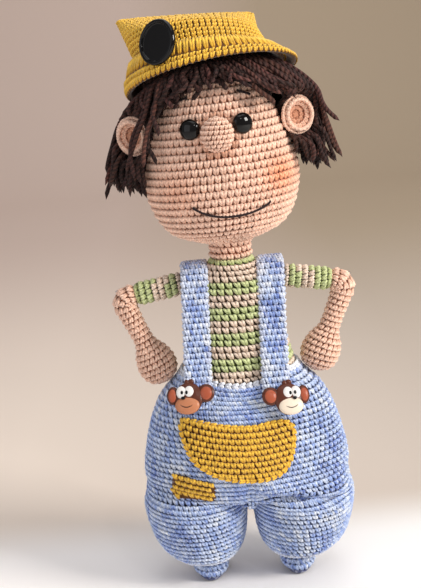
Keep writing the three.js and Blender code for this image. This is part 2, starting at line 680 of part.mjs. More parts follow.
const sleeveWire = solidOf(rod(wireRadius, point(-armRadius + 1, 0, 0), point(sleeveLength - seam, 0, 0), 6));
const forearmWire = solidOf(rod(wireRadius, point(-armRadius + 1, 0, 0), point(forearmLength, 0, 0), 6));

for (const [name, side] of eyeSides) {
  const arm = new THREE.Group();
  arm.position.set(side * shoulderHalfWidth, 0, shoulderHeight);
  arm.rotation.set(0, radians(armDroop), side < 0 ? Math.PI : 0, 'ZYX');
  const lower = new THREE.Group();
  lower.position.x = upperArmLength;
  lower.rotation.y = radians(elbowBend);
  arm.add(lower);
  doll.add(arm);
  piece(arm, `sleeve_${name}`, sleeve, sweaterYarn());
  piece(arm, `sleeve_wire_${name}`, sleeveWire, steelWire());
  piece(arm, `elbow_${name}`, elbow, skinYarn());
  piece(lower, `forearm_${name}`, forearm, skinYarn());
  piece(lower, `forearm_wire_${name}`, forearmWire, steelWire());
}

// Overalls: hips and two balloon legs, with the torso let into the waist

const hipsKeys = [
  { y: -1, z: crotchHeight, wide: seatHalfWidth + 1.5, deep: legHalfDepth - 1 },
  { y: -2, z: seatHeight, wide: seatHalfWidth, deep: seatHalfDepth },
  {
    y: -2, z: waistHeight - hipsDrop * 2.2,
    wide: (hipsHalfWidth + seatHalfWidth) / 2 + 1, deep: (hipsHalfDepth + seatHalfDepth) / 2 + 0.5,
  },
  { y: -1, z: waistHeight - hipsDrop, wide: hipsHalfWidth, deep: hipsHalfDepth },
  { z: waistHeight, wide: bellyHalfWidth + waistBand, deep: bellyHalfDepth + waistBand },
];
const legKeys = (side) => [
  { x: side * footCentre, y: -2, z: cuffHeight, wide: cuffHalfWidth, deep: cuffHalfDepth },
  { x: side * (footCentre + 2.5), y: -1.5, z: cuffHeight + 3.5, wide: calfHalfWidth - 4, deep: calfHalfDepth - 5 },
  { x: side * legCentre, y: -1, z: calfHeight, wide: calfHalfWidth + 0.8, deep: calfHalfDepth },
  { x: side * legCentre, y: -1, z: legBellyHeight, wide: legHalfWidth, deep: legHalfDepth },
  { x: side * (legCentre - 1), y: -1, z: crotchHeight, wide: legHalfWidth - 1, deep: legHalfDepth - 3.5 },
  { x: side * (legCentre - 4), y: -1.5, z: crotchHeight + 8, wide: legHalfWidth - 12, deep: legHalfDepth - 16 },
];
const garment = (off) => join(
  solidOf(stuffed(grown(hipsKeys, off), 8, 30)),
  ...[1, -1].map((side) => solidOf(stuffed(grown(legKeys(side), off), 10, 24))));
const overalls = garment(0);
const torsoGrown = solidOf(stuffed(
  grown(torsoKeys, seam).map((k, i) => (i ? k : { ...k, z: k.z - seam })), torsoSteps));
const dipRadius = (strapCentre ** 2 + waistDip ** 2) / (2 * waistDip);
const dip = solidOf(rod(dipRadius, point(0, -far, waistHeight - waistDip + dipRadius),
  point(0, 0, waistHeight - waistDip + dipRadius), 72));
const hipsShare = solidOf(block(point(-far, -far, crotchHeight + gap), point(far, far, far)));
piece(doll, 'hips', cut(overalls.intersect(hipsShare), torsoGrown, dip), denimYarn());
for (const [name, side] of eyeSides) {
  const edges = [side * gap, side * far].sort((a, b) => a - b);
  const legShare = solidOf(block(point(edges[0], -far, 0), point(edges[1], far, crotchHeight - gap)));
  const foot = { x: side * footCentre, y: -footForward };
  const footKeys = (off) => [
    { ...foot, z: -off, wide: soleHalfWidth + off, deep: soleHalfLength + off },
    { ...foot, z: 3.5, wide: soleHalfWidth + 1.3 + off, deep: soleHalfLength + 0.6 + off },
    { ...foot, y: -footForward + 1, z: 9, wide: footHalfWidth + off, deep: footHalfLength + off },
    {
      ...foot, y: -footForward + 2, z: cuffHeight + 5 + off,
      wide: footHalfWidth - 1 + off, deep: footHalfLength - 1 + off,
    },
  ];
  piece(doll, `leg_${name}`, cut(overalls.intersect(legShare), solidOf(stuffed(footKeys(seam), 5, 18))), denimYarn());
  piece(doll, `foot_${name}`, solidOf(stuffed(footKeys(0), 5, 18)), denimYarn());
}

// Edging round the waist, a closed thread on the overalls' top edge

const waistPath = (angle, lift) => {
  const x = (bellyHalfWidth + 2 * seam + edgingThread / 2) * Math.cos(angle);
  const y = (bellyHalfDepth + 2 * seam + edgingThread / 2) * Math.sin(angle);
  const reach = Math.max(dipRadius ** 2 - x * x, 0);
  const dipped = waistHeight - waistDip + dipRadius - Math.sqrt(reach);
  const z = y < 0 && Math.abs(x) < strapCentre ? Math.min(dipped, waistHeight) : waistHeight;
  return point(x, y, z + lift);
};
function hoop(radius, path, steps, sides) {
  const corners = [];
  const faces = [];
  for (let i = 0; i < steps; i++) {
    const angle = (2 * Math.PI * i) / steps;
    const centre = path(angle);
    const along = path(angle + 0.02).sub(path(angle - 0.02)).normalize();
    const out = along.clone().cross(point(0, 0, 1)).normalize();
    const up = out.clone().cross(along);
    for (let s = 0; s < sides; s++) {
      const turn = (2 * Math.PI * s) / sides;
      corners.push(centre.clone().addScaledVector(out, radius * Math.cos(turn))
        .addScaledVector(up, radius * Math.sin(turn)));
      const [a, b] = [i * sides + s, i * sides + ((s + 1) % sides)];
      const [c, d] = [((i + 1) % steps) * sides + s, ((i + 1) % steps) * sides + ((s + 1) % sides)];
      faces.push(a, d, b, a, c, d);
    }
  }
  const geometry = new THREE.BufferGeometry().setFromPoints(corners);
  geometry.setIndex(faces);
  return geometry;
}
const edgingPath = (angle) => waistPath(angle, edgingThread / 2 + seam);
const edging = solidOf(hoop(edgingThread / 2, edgingPath, 40, 6));
const edgingRoom = solidOf(hoop(edgingThread / 2 + seam, edgingPath, 40, 6));

// Straps, each a flat band that arches from the bib over the shoulder to the back

const strapLow = waistHeight - strapOverlap;
const strapTop = shoulderHeight + strapRise;
const strapInner = strapCentre - strapWidth / 2;
const shellDepth = (wide, deep) => deep * Math.sqrt(Math.max(1 - (strapInner / wide) ** 2, 0.05));
const strapFoot = shellDepth(hipsHalfWidth, hipsHalfDepth) + 1 + 2 * seam;
const strapWaist = shellDepth(bellyHalfWidth + waistBand, bellyHalfDepth + waistBand) + 2 * seam + 0.6;
const strapChest = shellDepth(chestHalfWidth, chestHalfDepth) + 1.2;
const strapPoints = (off, lift) => [
  [-strapWaist - off - 1, waistHeight - 2], [-strapWaist - off, waistHeight + 2],
  [-strapChest - off, shoulderHeight - chestDrop],
  [-armRadius * 1.9 - off, shoulderHeight], [-armRadius * 1.1 - off * 0.8, strapTop - 2.4 + lift * 0.7],
  [0, strapTop + lift],
];
function strapArch() {
  const half = (off, lift) => new THREE.SplineCurve(strapPoints(off, lift).map(([y, z]) => new THREE.Vector2(y, z)))
    .getPoints(10).map((p) => [p.x, p.y]);
  const full = (off, lift) => {
    const front = half(off, lift);
    return [...front, ...front.slice(0, -1).reverse().map(([y, z]) => [-y, z])];
  };
  const outline = [...full(strapThickness, strapThickness), ...full(0, 0).reverse()];
  return cutter(outline, -strapWidth / 2, strapWidth / 2).rotateZ(Math.PI / 2);
}
// The straps lean, from over the shoulders down to the bib.
const strapLean = bibShift / (strapTop - waistHeight);
const leaning = new THREE.Matrix4().makeShear(0, 0, 0, 0, strapLean, 0);
const garmentGrown = garment(seam);
const strapTabs = cut(garment(seam + strapThickness), garmentGrown);
const cones = [1, -1].map((side) => solidOf(turned([
  [0, 0], [armRadius + 1.5 + seam, 0], [armRadius + seam, shoulderReach + 2], [0, shoulderReach + 2],
], 14).rotateY(side * Math.PI / 2).translate(0, 0, shoulderHeight)));
for (const [name, side] of eyeSides) {
  const arch = solidOf(strapArch().translate(side * strapCentre - strapLean * strapTop, 0, 0)
    .applyMatrix4(leaning));
  const foot = side * strapCentre - bibShift;
  const tabs = strapTabs.intersect(solidOf(block(
    point(foot - strapWidth / 2, -far, strapLow), point(foot + strapWidth / 2, far, waistHeight))));
  piece(doll, `strap_${name}`, cut(join(arch, tabs), garmentGrown, torsoGrown, ...cones, edgingRoom), denimYarn());
}
piece(doll, 'waist_edging', edging, trimYarn());

// Pocket, its edging and the patch, sewn on the front of the overalls

const front = solidOf(block(point(-far, -far, -far), point(far, -5, far)));
const layer = (from, to) => cut(garment(to).intersect(front), garment(from));
const pocketHeight = waistHeight - pocketDrop;
const pocketBed = -pocketEdging - seam;
const pocketOutline = Array.from({ length: 17 }, (_, i) => {
  const angle = Math.PI + (Math.PI * i) / 16;
  const squared = (v) => Math.sign(v) * Math.abs(v) ** 0.88;
  return [pocketHalfWidth * squared(Math.cos(angle)),
    pocketBed + (pocketTall - pocketEdging) * squared(Math.sin(angle))];
});
const tilted = (outline) => solidOf(cutter(outline, -far, 0).rotateY(radians(pocketTilt))
  .translate(-bibShift, 0, pocketHeight));
const rectangle = (half, low, high) => [[-half, low], [half, low], [half, high], [-half, high]];
piece(doll, 'pocket', layer(seam, pocketThickness + seam).intersect(tilted(pocketOutline)), yarn(0xdca53c));
piece(doll, 'pocket_edging', layer(seam, pocketThickness + 2 * seam).intersect(
  tilted(rectangle(pocketHalfWidth + 0.8, -pocketEdging, 0))), yarn(0xe0a840));
piece(doll, 'patch', layer(seam, patchThickness + seam).intersect(solidOf(
  cutter(rectangle(patchWidth / 2, -patchTall / 2, patchTall / 2), -far, 0)
    .translate(patchCentre, 0, crotchHeight + patchRise))), yarn(0xdca53c));

// Moulded buttons, a round animal's head with two ears and a muzzle

function charm() {
  const dome = (wide, tall, deep, x, y, z) => solidOf(new THREE.SphereGeometry(1, 12, 6)
    .scale(wide, deep, tall).translate(x, y, z));
  const whole = join(
    dome(charmHalfWidth, charmHalfTall, charmDepth, 0, 0, 0),
    ...[1, -1].map((side) => dome(
      charmEarRadius, charmEarRadius * 1.2, charmDepth * 0.5, side * charmEarReach, 0, 0.5)),
    dome(charmMuzzle, charmMuzzle * 0.75, charmDepth * 0.6, 0, -charmDepth * 0.55, -charmHalfTall * 0.46));
  return cut(whole, solidOf(block(point(-far, 0, -far), point(far, far, far))));
}
const charmSlope = Math.atan2(strapFoot - strapWaist, strapOverlap);
for (const [name, side] of eyeSides) {
  const drop = charmDrop + side * charmTilt;
  const back = THREE.MathUtils.lerp(strapWaist, strapFoot, drop / strapOverlap) + strapThickness + seam + 1.1;
  const placed = geometryOf(charm()).rotateX(-charmSlope).rotateZ(side * 0.12)
    .translate(side * (strapCentre + 5.5) - bibShift, -back, waistHeight - drop);
  piece(doll, `overalls_button_${name}`, solidOf(placed), gloss(0x6e3a28));
}

// Stand the doll with the middle of its box over the origin
doll.updateMatrixWorld(true);
const box = new THREE.Box3().setFromObject(doll, true);
doll.position.y = -(box.min.y + box.max.y) / 2;

export default doll;
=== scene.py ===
"""Looks of a crocheted boy doll: stitched skins, yarn hair, a cap, overalls and wired arms.

Sizes in the classes are millimetres. The doll stands on Z = 0 and faces -Y, so its own left side is +X.
"""
import json
import logging
import math
from dataclasses import dataclass, field
from enum import Enum
from typing import Callable, Optional, Sequence

import bmesh
import bpy
import numpy as np
from mathutils import Matrix, Vector


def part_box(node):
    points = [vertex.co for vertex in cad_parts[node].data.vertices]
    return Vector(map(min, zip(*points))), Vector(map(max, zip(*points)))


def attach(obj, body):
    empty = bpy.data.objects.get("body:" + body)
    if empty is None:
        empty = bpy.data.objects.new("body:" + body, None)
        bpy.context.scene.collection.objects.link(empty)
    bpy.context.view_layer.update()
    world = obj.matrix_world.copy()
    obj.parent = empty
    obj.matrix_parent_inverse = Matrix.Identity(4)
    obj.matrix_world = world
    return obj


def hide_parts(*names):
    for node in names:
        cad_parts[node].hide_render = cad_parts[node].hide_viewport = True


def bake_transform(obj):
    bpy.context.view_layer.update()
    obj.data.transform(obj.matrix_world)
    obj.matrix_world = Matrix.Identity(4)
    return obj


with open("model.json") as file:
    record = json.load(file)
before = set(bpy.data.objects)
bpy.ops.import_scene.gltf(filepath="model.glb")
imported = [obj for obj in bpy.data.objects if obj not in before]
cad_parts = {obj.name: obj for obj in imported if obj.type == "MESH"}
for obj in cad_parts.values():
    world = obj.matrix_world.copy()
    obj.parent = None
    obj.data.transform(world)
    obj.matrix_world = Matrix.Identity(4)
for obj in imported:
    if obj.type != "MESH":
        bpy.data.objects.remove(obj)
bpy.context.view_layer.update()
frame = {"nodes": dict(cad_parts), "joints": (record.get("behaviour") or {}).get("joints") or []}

MM = 0.001
TURN = 2 * math.pi
NECK = next(joint for joint in frame["joints"] if joint["name"] == "neck_turn")
MIDDLE_Y = NECK["pos_m"][1] / MM      # the doll's middle plane in the frame
LOG = logging.getLogger("doll")

Array = np.ndarray
Colour = tuple[float, float, float]
Spot = tuple[float, float, float]
Keys = tuple[tuple[float, ...], ...]
Paint = Callable[[Array], Array]      # gives a colour for each place
Material = bpy.types.Material
Socket = bpy.types.NodeSocket
SIDES = (("left", 1), ("right", -1))


class Finish(Enum):
    """The named finishes of the new pieces."""

    SKIN = "skin_yarn"
    DARK = "dark_thread"
    HAIR = "hair_yarn"
    MUSTARD = "cap_yarn"
    SWEATER = "sweater_yarn"
    DENIM = "overalls_yarn"
    EDGING = "edging_yarn"
    FILLING = "filling"
    BLACK = "black_gloss"
    MOULDED = "moulded_brown"


# Colours, as linear values from screen values

def tone(red: float, green: float, blue: float) -> Colour:
    """Turn a screen colour of 0 to 255 into linear values."""
    def linear(value: float) -> float:
        """Undo the screen's curve for one channel."""
        share = value / 255
        return share / 12.92 if share <= 0.04045 else ((share + 0.055) / 1.055) ** 2.4
    return linear(red), linear(green), linear(blue)


SKIN = tone(248, 206, 182)
SKIN_SHADOW = tone(150, 84, 56)
BLUSH = tone(244, 160, 112)
GREEN = tone(206, 214, 158)
BEIGE = tone(238, 216, 196)
MUSTARD = tone(238, 190, 70)
CAP_SHADOW = tone(96, 58, 18)
HAIR = tone(70, 41, 33)
DENIM_SHADES = (tone(120, 142, 206), tone(152, 174, 226), tone(180, 198, 236), tone(206, 218, 242),
                tone(232, 237, 247))
DENIM_SHADOW = tone(60, 68, 114)
WHITE = tone(240, 242, 250)
DARK = tone(40, 24, 24)


# Materials

class Recipe:
    """A node material while it is put together."""

    def __init__(self, name: str, **settings: float) -> None:
        """Start a material.

        Args:
            name: Its name.
            settings: Inputs of its main shader, with underscores for spaces.
        """
        self.material = bpy.data.materials.new(name)
        self.material.use_nodes = True
        self.shader = self.material.node_tree.nodes["Principled BSDF"]
        for key, value in settings.items():
            self.dress(key, value)
        self.places = self.add("TexCoord").outputs["Object"]

    def dress(self, key: str, value: float | Socket) -> None:
        """Feed an input of the main shader."""
        self.feed(self.shader.inputs[key.replace("_", " ")], value)

    def feed(self, socket: Socket, value: float | Colour | Socket) -> None:
        """Give a socket another node's output, or a value of its own."""
        if isinstance(value, Socket):
            self.material.node_tree.links.new(value, socket)
        else:
            socket.default_value = value

    def add(self, kind: str, operation: str = "", **settings: float | Socket) -> bpy.types.Node:
        """Add a node.

        Args:
            kind: Its type, without the usual first words.
            operation: What it works out, where it has a choice.
            settings: Its inputs, with underscores for spaces.

        Returns:
            The node.
        """
        made = self.material.node_tree.nodes.new(f"ShaderNode{kind}")
        if operation:
            made.operation = operation
        for key, value in settings.items():
            self.feed(made.inputs[key.replace("_", " ")], value)
        return made

    def noise(self, scale: float, detail: float) -> Socket:
        """Add noise on the piece's own places."""
        return self.add("TexNoise", Vector=self.places, Scale=scale, Detail=detail).outputs["Fac"]

    def stored(self, name: str, output: str) -> Socket:
        """Read a value that the piece's mesh carries."""
        made = self.add("Attribute")
        made.attribute_name = name
        return made.outputs[output]

    def ranged(self, value: Socket, low: float, high: float, first: float = 0.0, last: float = 1.0) -> Socket:
        """Turn a value from first to last into one from low to high."""
        made = self.add("MapRange", Value=value, From_Min=first, From_Max=last, To_Min=low, To_Max=high)
        return made.outputs[0]

    def product(self, one: Socket, other: Socket) -> Socket:
        """Multiply two values."""
        made = self.add("Math", "MULTIPLY")
        for socket, value in zip(made.inputs, (one, other)):
            self.feed(socket, value)
        return made.outputs[0]

    def mixed(self, share: Socket, one: Colour | Socket, other: Colour | Socket) -> Socket:
        """Mix two colours."""
        made = self.add("Mix")
        made.data_type = "RGBA"
        self.feed(made.inputs[0], share)
        for socket, colour in zip([s for s in made.inputs if s.type == "RGBA"], (one, other)):
            self.feed(socket, colour if isinstance(colour, Socket) else (*colour, 1))
        return next(s for s in made.outputs if s.type == "RGBA")

    def bump(self, height: Socket, strength: float, distance: float, **under: Socket) -> Socket:
        """Raise the surface by a height, with the distance in millimetres."""
        made = self.add("Bump", Strength=strength, Distance=distance * MM, Height=height, **under)
        return made.outputs["Normal"]


@dataclass(frozen=True)
class YarnFinish:
    """Spun yarn: colour from the piece's own stitches, twisted plies and a little fuzz.

    Attributes:
        name: Name of the material.
        roughness: Roughness of the yarn.
        sheen: Strength of its soft edge.
        ply_depth: How deep the twist of the plies looks.
        fuzz: How rough its fibres look.
        mottle: How much its colour varies.
        groove: Brightness of the painted shade in the grooves between the plies.
        fleck: Strength of pale flecks.
    """

    name: str
    roughness: float = 0.88
    sheen: float = 0.25
    ply_depth: float = 0.35
    fuzz: float = 0.35
    mottle: float = 0.16
    groove: float = 0.8
    fleck: float = 0.0

    def material(self) -> Material:
        """Build the node material.

        Returns:
            The new material.
        """
        recipe = Recipe(self.name, Roughness=self.roughness, Sheen_Weight=self.sheen, Sheen_Roughness=0.5,
                        Specular_IOR_Level=0.25)
        colour = recipe.stored("yarn_colour", "Color")
        if self.fleck:
            flecks = recipe.ranged(recipe.noise(620, 1), 0, self.fleck, 0.5, 0.62)
            colour = recipe.mixed(flecks, colour, WHITE)
        # Painted shade in the ply grooves: the twist darkens the colour between the plies and lightens their
        # crowns a little; the mottle is the yarn's own uneven tone.
        twist = recipe.add("Math", "SINE", Value=recipe.stored("ply", "Fac")).outputs[0]
        shade = recipe.product(recipe.ranged(recipe.noise(900, 3), 1 - self.mottle, 1 + self.mottle),
                               recipe.ranged(twist, self.groove, 1.08, first=-1))
        recipe.dress("Base Color", recipe.add("VectorMath", "SCALE", Vector=colour, Scale=shade).outputs[0])
        plies = recipe.bump(twist, self.ply_depth, 0.25)
        recipe.dress("Normal", recipe.bump(recipe.noise(2600, 4), self.fuzz, 0.2, Normal=plies))
        return recipe.material


@dataclass(frozen=True)
class HardFinish:
    """Moulded plastic, drawn metal or paper, with faint unevenness from handling.

    Attributes:
        name: Name of the material.
        colour: Its colour.
        roughness: Its roughness.
        metallic: 1 for metal.
        unevenness: How much its roughness varies.
        gloss: Strength of its reflection.
    """

    name: str
    colour: Colour
    roughness: float
    metallic: float = 0.0
    unevenness: float = 0.06
    gloss: float = 0.5

    def recipe(self) -> Recipe:
        """Put the node material together.

        Returns:
            The material's recipe, which may still be added to.
        """
        recipe = Recipe(self.name, Metallic=self.metallic, Specular_IOR_Level=self.gloss)
        wear = recipe.noise(300, 4)
        recipe.dress("Roughness", recipe.ranged(wear, max(self.roughness - self.unevenness, 0.02),
                                                self.roughness + self.unevenness))
        darker, lighter = (tuple(c * share for c in self.colour) for share in (0.92, 1.06))
        recipe.dress("Base Color", recipe.mixed(wear, darker, lighter))
        recipe.dress("Normal", recipe.bump(wear, 0.05, 0.05))
        return recipe

    def material(self) -> Material:
        """Build the node material."""
        return self.recipe().material


# Meshes of many strands

@dataclass(frozen=True)
class Template:
    """A closed shape whose points are given by a share of its length and an angle round it."""

    along: Array
    angle: Array
    open_share: Array
    faces: Array
    corner_turn: Array
    corner_along: Array

    @staticmethod
    def gather(work: bmesh.types.BMesh, along: Callable[[Array], Array], poles: bool) -> "Template":
        """Read a shape's points and faces, with unbroken turns at the corners of each face."""
        bmesh.ops.triangulate(work, faces=work.faces[:])
        work.verts.index_update()
        spots = np.array([v.co for v in work.verts])
        faces = np.array([[v.index for v in f.verts] for f in work.faces])
        work.free()
        level = along(spots)
        angle = np.arctan2(spots[:, 1], spots[:, 0])
        ends = ((level < 1e-3) | (level > 1 - 1e-3)) & poles
        turn = np.mod(angle / TURN, 1)[faces]
        turn = np.where(turn < turn.max(1, keepdims=True) - 0.5, turn + 1, turn)
        tip = ends[faces]
        body = np.where(tip, 0, turn).sum(1, keepdims=True) / np.maximum((~tip).sum(1, keepdims=True), 1)
        turn = np.where(tip, body, turn)
        return Template(level, angle, np.where(ends, 0.0, 1.0), faces, turn, level[faces])

    @staticmethod
    def strand(sides: int, rings: int) -> "Template":
        """Make a strand from a ball, with its poles as the strand's ends.

        Args:
            sides: Faces round the strand.
            rings: Faces along the strand.

        Returns:
            The template.
        """
        ball = bmesh.new()
        bmesh.ops.create_uvsphere(ball, u_segments=sides, v_segments=rings, radius=1)
        return Template.gather(ball, lambda p: np.arccos(np.clip(-p[:, 2], -1, 1)) / math.pi, True)

    @staticmethod
    def hoop(sides: int, section: int) -> "Template":
        """Make a hoop, with its angle round the hoop and its share round the section."""
        work = bmesh.new()
        ring = bmesh.ops.create_circle(work, segments=section, radius=0.3, matrix=Matrix.Translation((1, 0, 0))
                                       @ Matrix.Rotation(math.pi / 2, 4, "X"))["verts"]
        edges = list({e for v in ring for e in v.link_edges})
        bmesh.ops.spin(work, geom=ring + edges, cent=(0, 0, 0), axis=(0, 0, 1), angle=TURN, steps=sides,
                       use_merge=True, use_duplicate=False)
        bmesh.ops.recalc_face_normals(work, faces=work.faces)

        def share(spots: Array) -> Array:
            """Give each spot's share of a turn round the section."""
            return np.mod(np.arctan2(spots[:, 2], np.hypot(spots[:, 0], spots[:, 1]) - 1) / TURN, 1)
        return Template.gather(work, share, False)


class Weave:
    """One mesh gathered from many parts, with a colour and a twist value at every point."""

    def __init__(self, name: str) -> None:
        """Start an empty mesh of that name."""
        self.name = name
        self.points: list[Array] = []
        self.faces: list[Array] = []
        self.colours: list[Array] = []
        self.plies: list[Array] = []
        self.count = 0

    def add(self, points: Array, faces: Array, colours: Array, plies: Optional[Array] = None) -> None:
        """Add one part, or several of the same faces.

        Args:
            points: Places in millimetres, as points by 3 or parts by points by 3.
            faces: Corners of the triangles of one part.
            colours: A colour for each point, each part or the whole.
            plies: Twist value at each corner of the triangles.
        """
        parts = points if points.ndim == 3 else points[None]
        copies, size = parts.shape[:2]
        shift = self.count + size * np.arange(copies)[:, None, None]
        shades = np.asarray(colours, float)
        if shades.ndim == 1:
            shades = np.broadcast_to(shades, (copies, size, 3))
        elif shades.ndim == 2 and points.ndim == 3:
            shades = np.broadcast_to(shades[:, None], (copies, size, 3))
        twist = np.broadcast_to(0.0 if plies is None else plies, (copies, *faces.shape))
        self.points.append(parts.reshape(-1, 3))
        self.faces.append((faces[None] + shift).reshape(-1, 3))
        self.colours.append(shades.reshape(-1, 3))
        self.plies.append(twist.reshape(-1))
        self.count += copies * size

    def finish(self, material: Material) -> bpy.types.Object:
        """Write the mesh into the scene.

        Args:
            material: The finish of the piece.

        Returns:
            The new object, at the origin.
        """
        points = (np.concatenate(self.points) + (0, MIDDLE_Y, 0)) * MM
        faces = np.concatenate(self.faces)
        mesh = bpy.data.meshes.new(self.name)
        mesh.vertices.add(len(points))
        mesh.vertices.foreach_set("co", points.astype(np.float32).ravel())
        mesh.loops.add(faces.size)
        mesh.loops.foreach_set("vertex_index", faces.astype(np.int32).ravel())
        mesh.polygons.add(len(faces))
        mesh.polygons.foreach_set("loop_start", np.arange(0, faces.size, 3, dtype=np.int32))
        mesh.update(calc_edges=True)
        mesh.validate()
        mesh.shade_smooth()
        shade = mesh.attributes.new("yarn_colour", "FLOAT_COLOR", "POINT")
        rgba = np.ones((len(points), 4), np.float32)
        rgba[:, :3] = np.clip(np.concatenate(self.colours), 0, 1)
        shade.data.foreach_set("color", rgba.ravel())
        ply = mesh.attributes.new("ply", "FLOAT", "CORNER")
        ply.data.foreach_set("value", np.concatenate(self.plies).astype(np.float32))
        mesh.materials.append(material)
        return link(self.name, mesh)


def link(name: str, data: bpy.types.ID) -> bpy.types.Object:
    """Put a mesh, a light or a camera into the scene."""
    made = bpy.data.objects.new(name, data)
    bpy.context.scene.collection.objects.link(made)
    return made


def unit(vectors: Array) -> Array:
    """Scale vectors to a length of one."""
    return vectors / np.maximum(np.linalg.norm(vectors, axis=-1, keepdims=True), 1e-9)


def spline(keys: Array, count: int) -> Array:
    """Smooth a few keys into many, through every key.

    Args:
        keys: Key values, keys by columns.
        count: Number of values to return.

    Returns:
        The smoothed values.
    """
    keys = np.asarray(keys, float)
    padded = np.concatenate([2 * keys[:1] - keys[1:2], keys, 2 * keys[-1:] - keys[-2:-1]])
    share = np.linspace(0, len(keys) - 1, count)
    i = np.minimum(share.astype(int), len(keys) - 2)
    t = (share - i)[:, None]
    a, b, c, d = padded[i], padded[i + 1], padded[i + 2], padded[i + 3]
    return 0.5 * (2 * b + (c - a) * t + (2 * a - 5 * b + 4 * c - d) * t ** 2
                  + (3 * b - a - 3 * c + d) * t ** 3)


def tube(template: Template, paths: Array, radius: float | Array, outward: Array) -> Array:
    """Bend strands along paths.

    Args:
        template: The strand.
        paths: Strands by points by 3.
        radius: Radius at each path point, or one for all.
        outward: A direction that isn't along the path, for the section's top.

    Returns:
        Places of the strands' points.
    """
    steps = paths.shape[1]
    share = template.along * (steps - 1)
    i = np.minimum(share.astype(int), steps - 2)
    t = (share - i)[:, None]
    centre = paths[:, i] * (1 - t) + paths[:, i + 1] * t
    slope = unit(np.gradient(paths, axis=1))
    along = unit(slope[:, i] * (1 - t) + slope[:, i + 1] * t)
    tops = np.broadcast_to(outward, paths.shape)
    top = tops[:, i] * (1 - t) + tops[:, i + 1] * t
    side = unit(np.cross(along, top))
    top = np.cross(side, along)
    radii = np.broadcast_to(radius, paths.shape[:2])
    size = (radii[:, i] * (1 - t[:, 0]) + radii[:, i + 1] * t[:, 0]) * template.open_share
    across, high = size * np.cos(template.angle), size * np.sin(template.angle)
    return centre + side * across[..., None] + top * high[..., None]


# Stitches

STRAND = Template.strand(6, 6)        # one strand of a stitch
LOCK = Template.strand(7, 22)         # a length of hair
LONG = Template.strand(7, 30)         # a sewn thread
BALL = Template.strand(40, 24)        # the ground of a small piece
DENSE = Template.strand(64, 40)       # the ground of a large piece
FLAT = 1e6                            # bending radius of a flat skin

# Shape of a strand at shares of its length, from its foot to its head
STRAND_START = -0.57
STRAND_LENGTH = 1.22
STRAND_RISE = (0, 0.25, 0.6, 0.85, 1), (0.1, 0.55, 1, 0.95, 0.6)
STRAND_THICKNESS = (0, 0.5, 1), (0.58, 0.97, 1.04)
STRAND_TURNS = 2.2
FOOT_SHADOW_REACH = 0.24


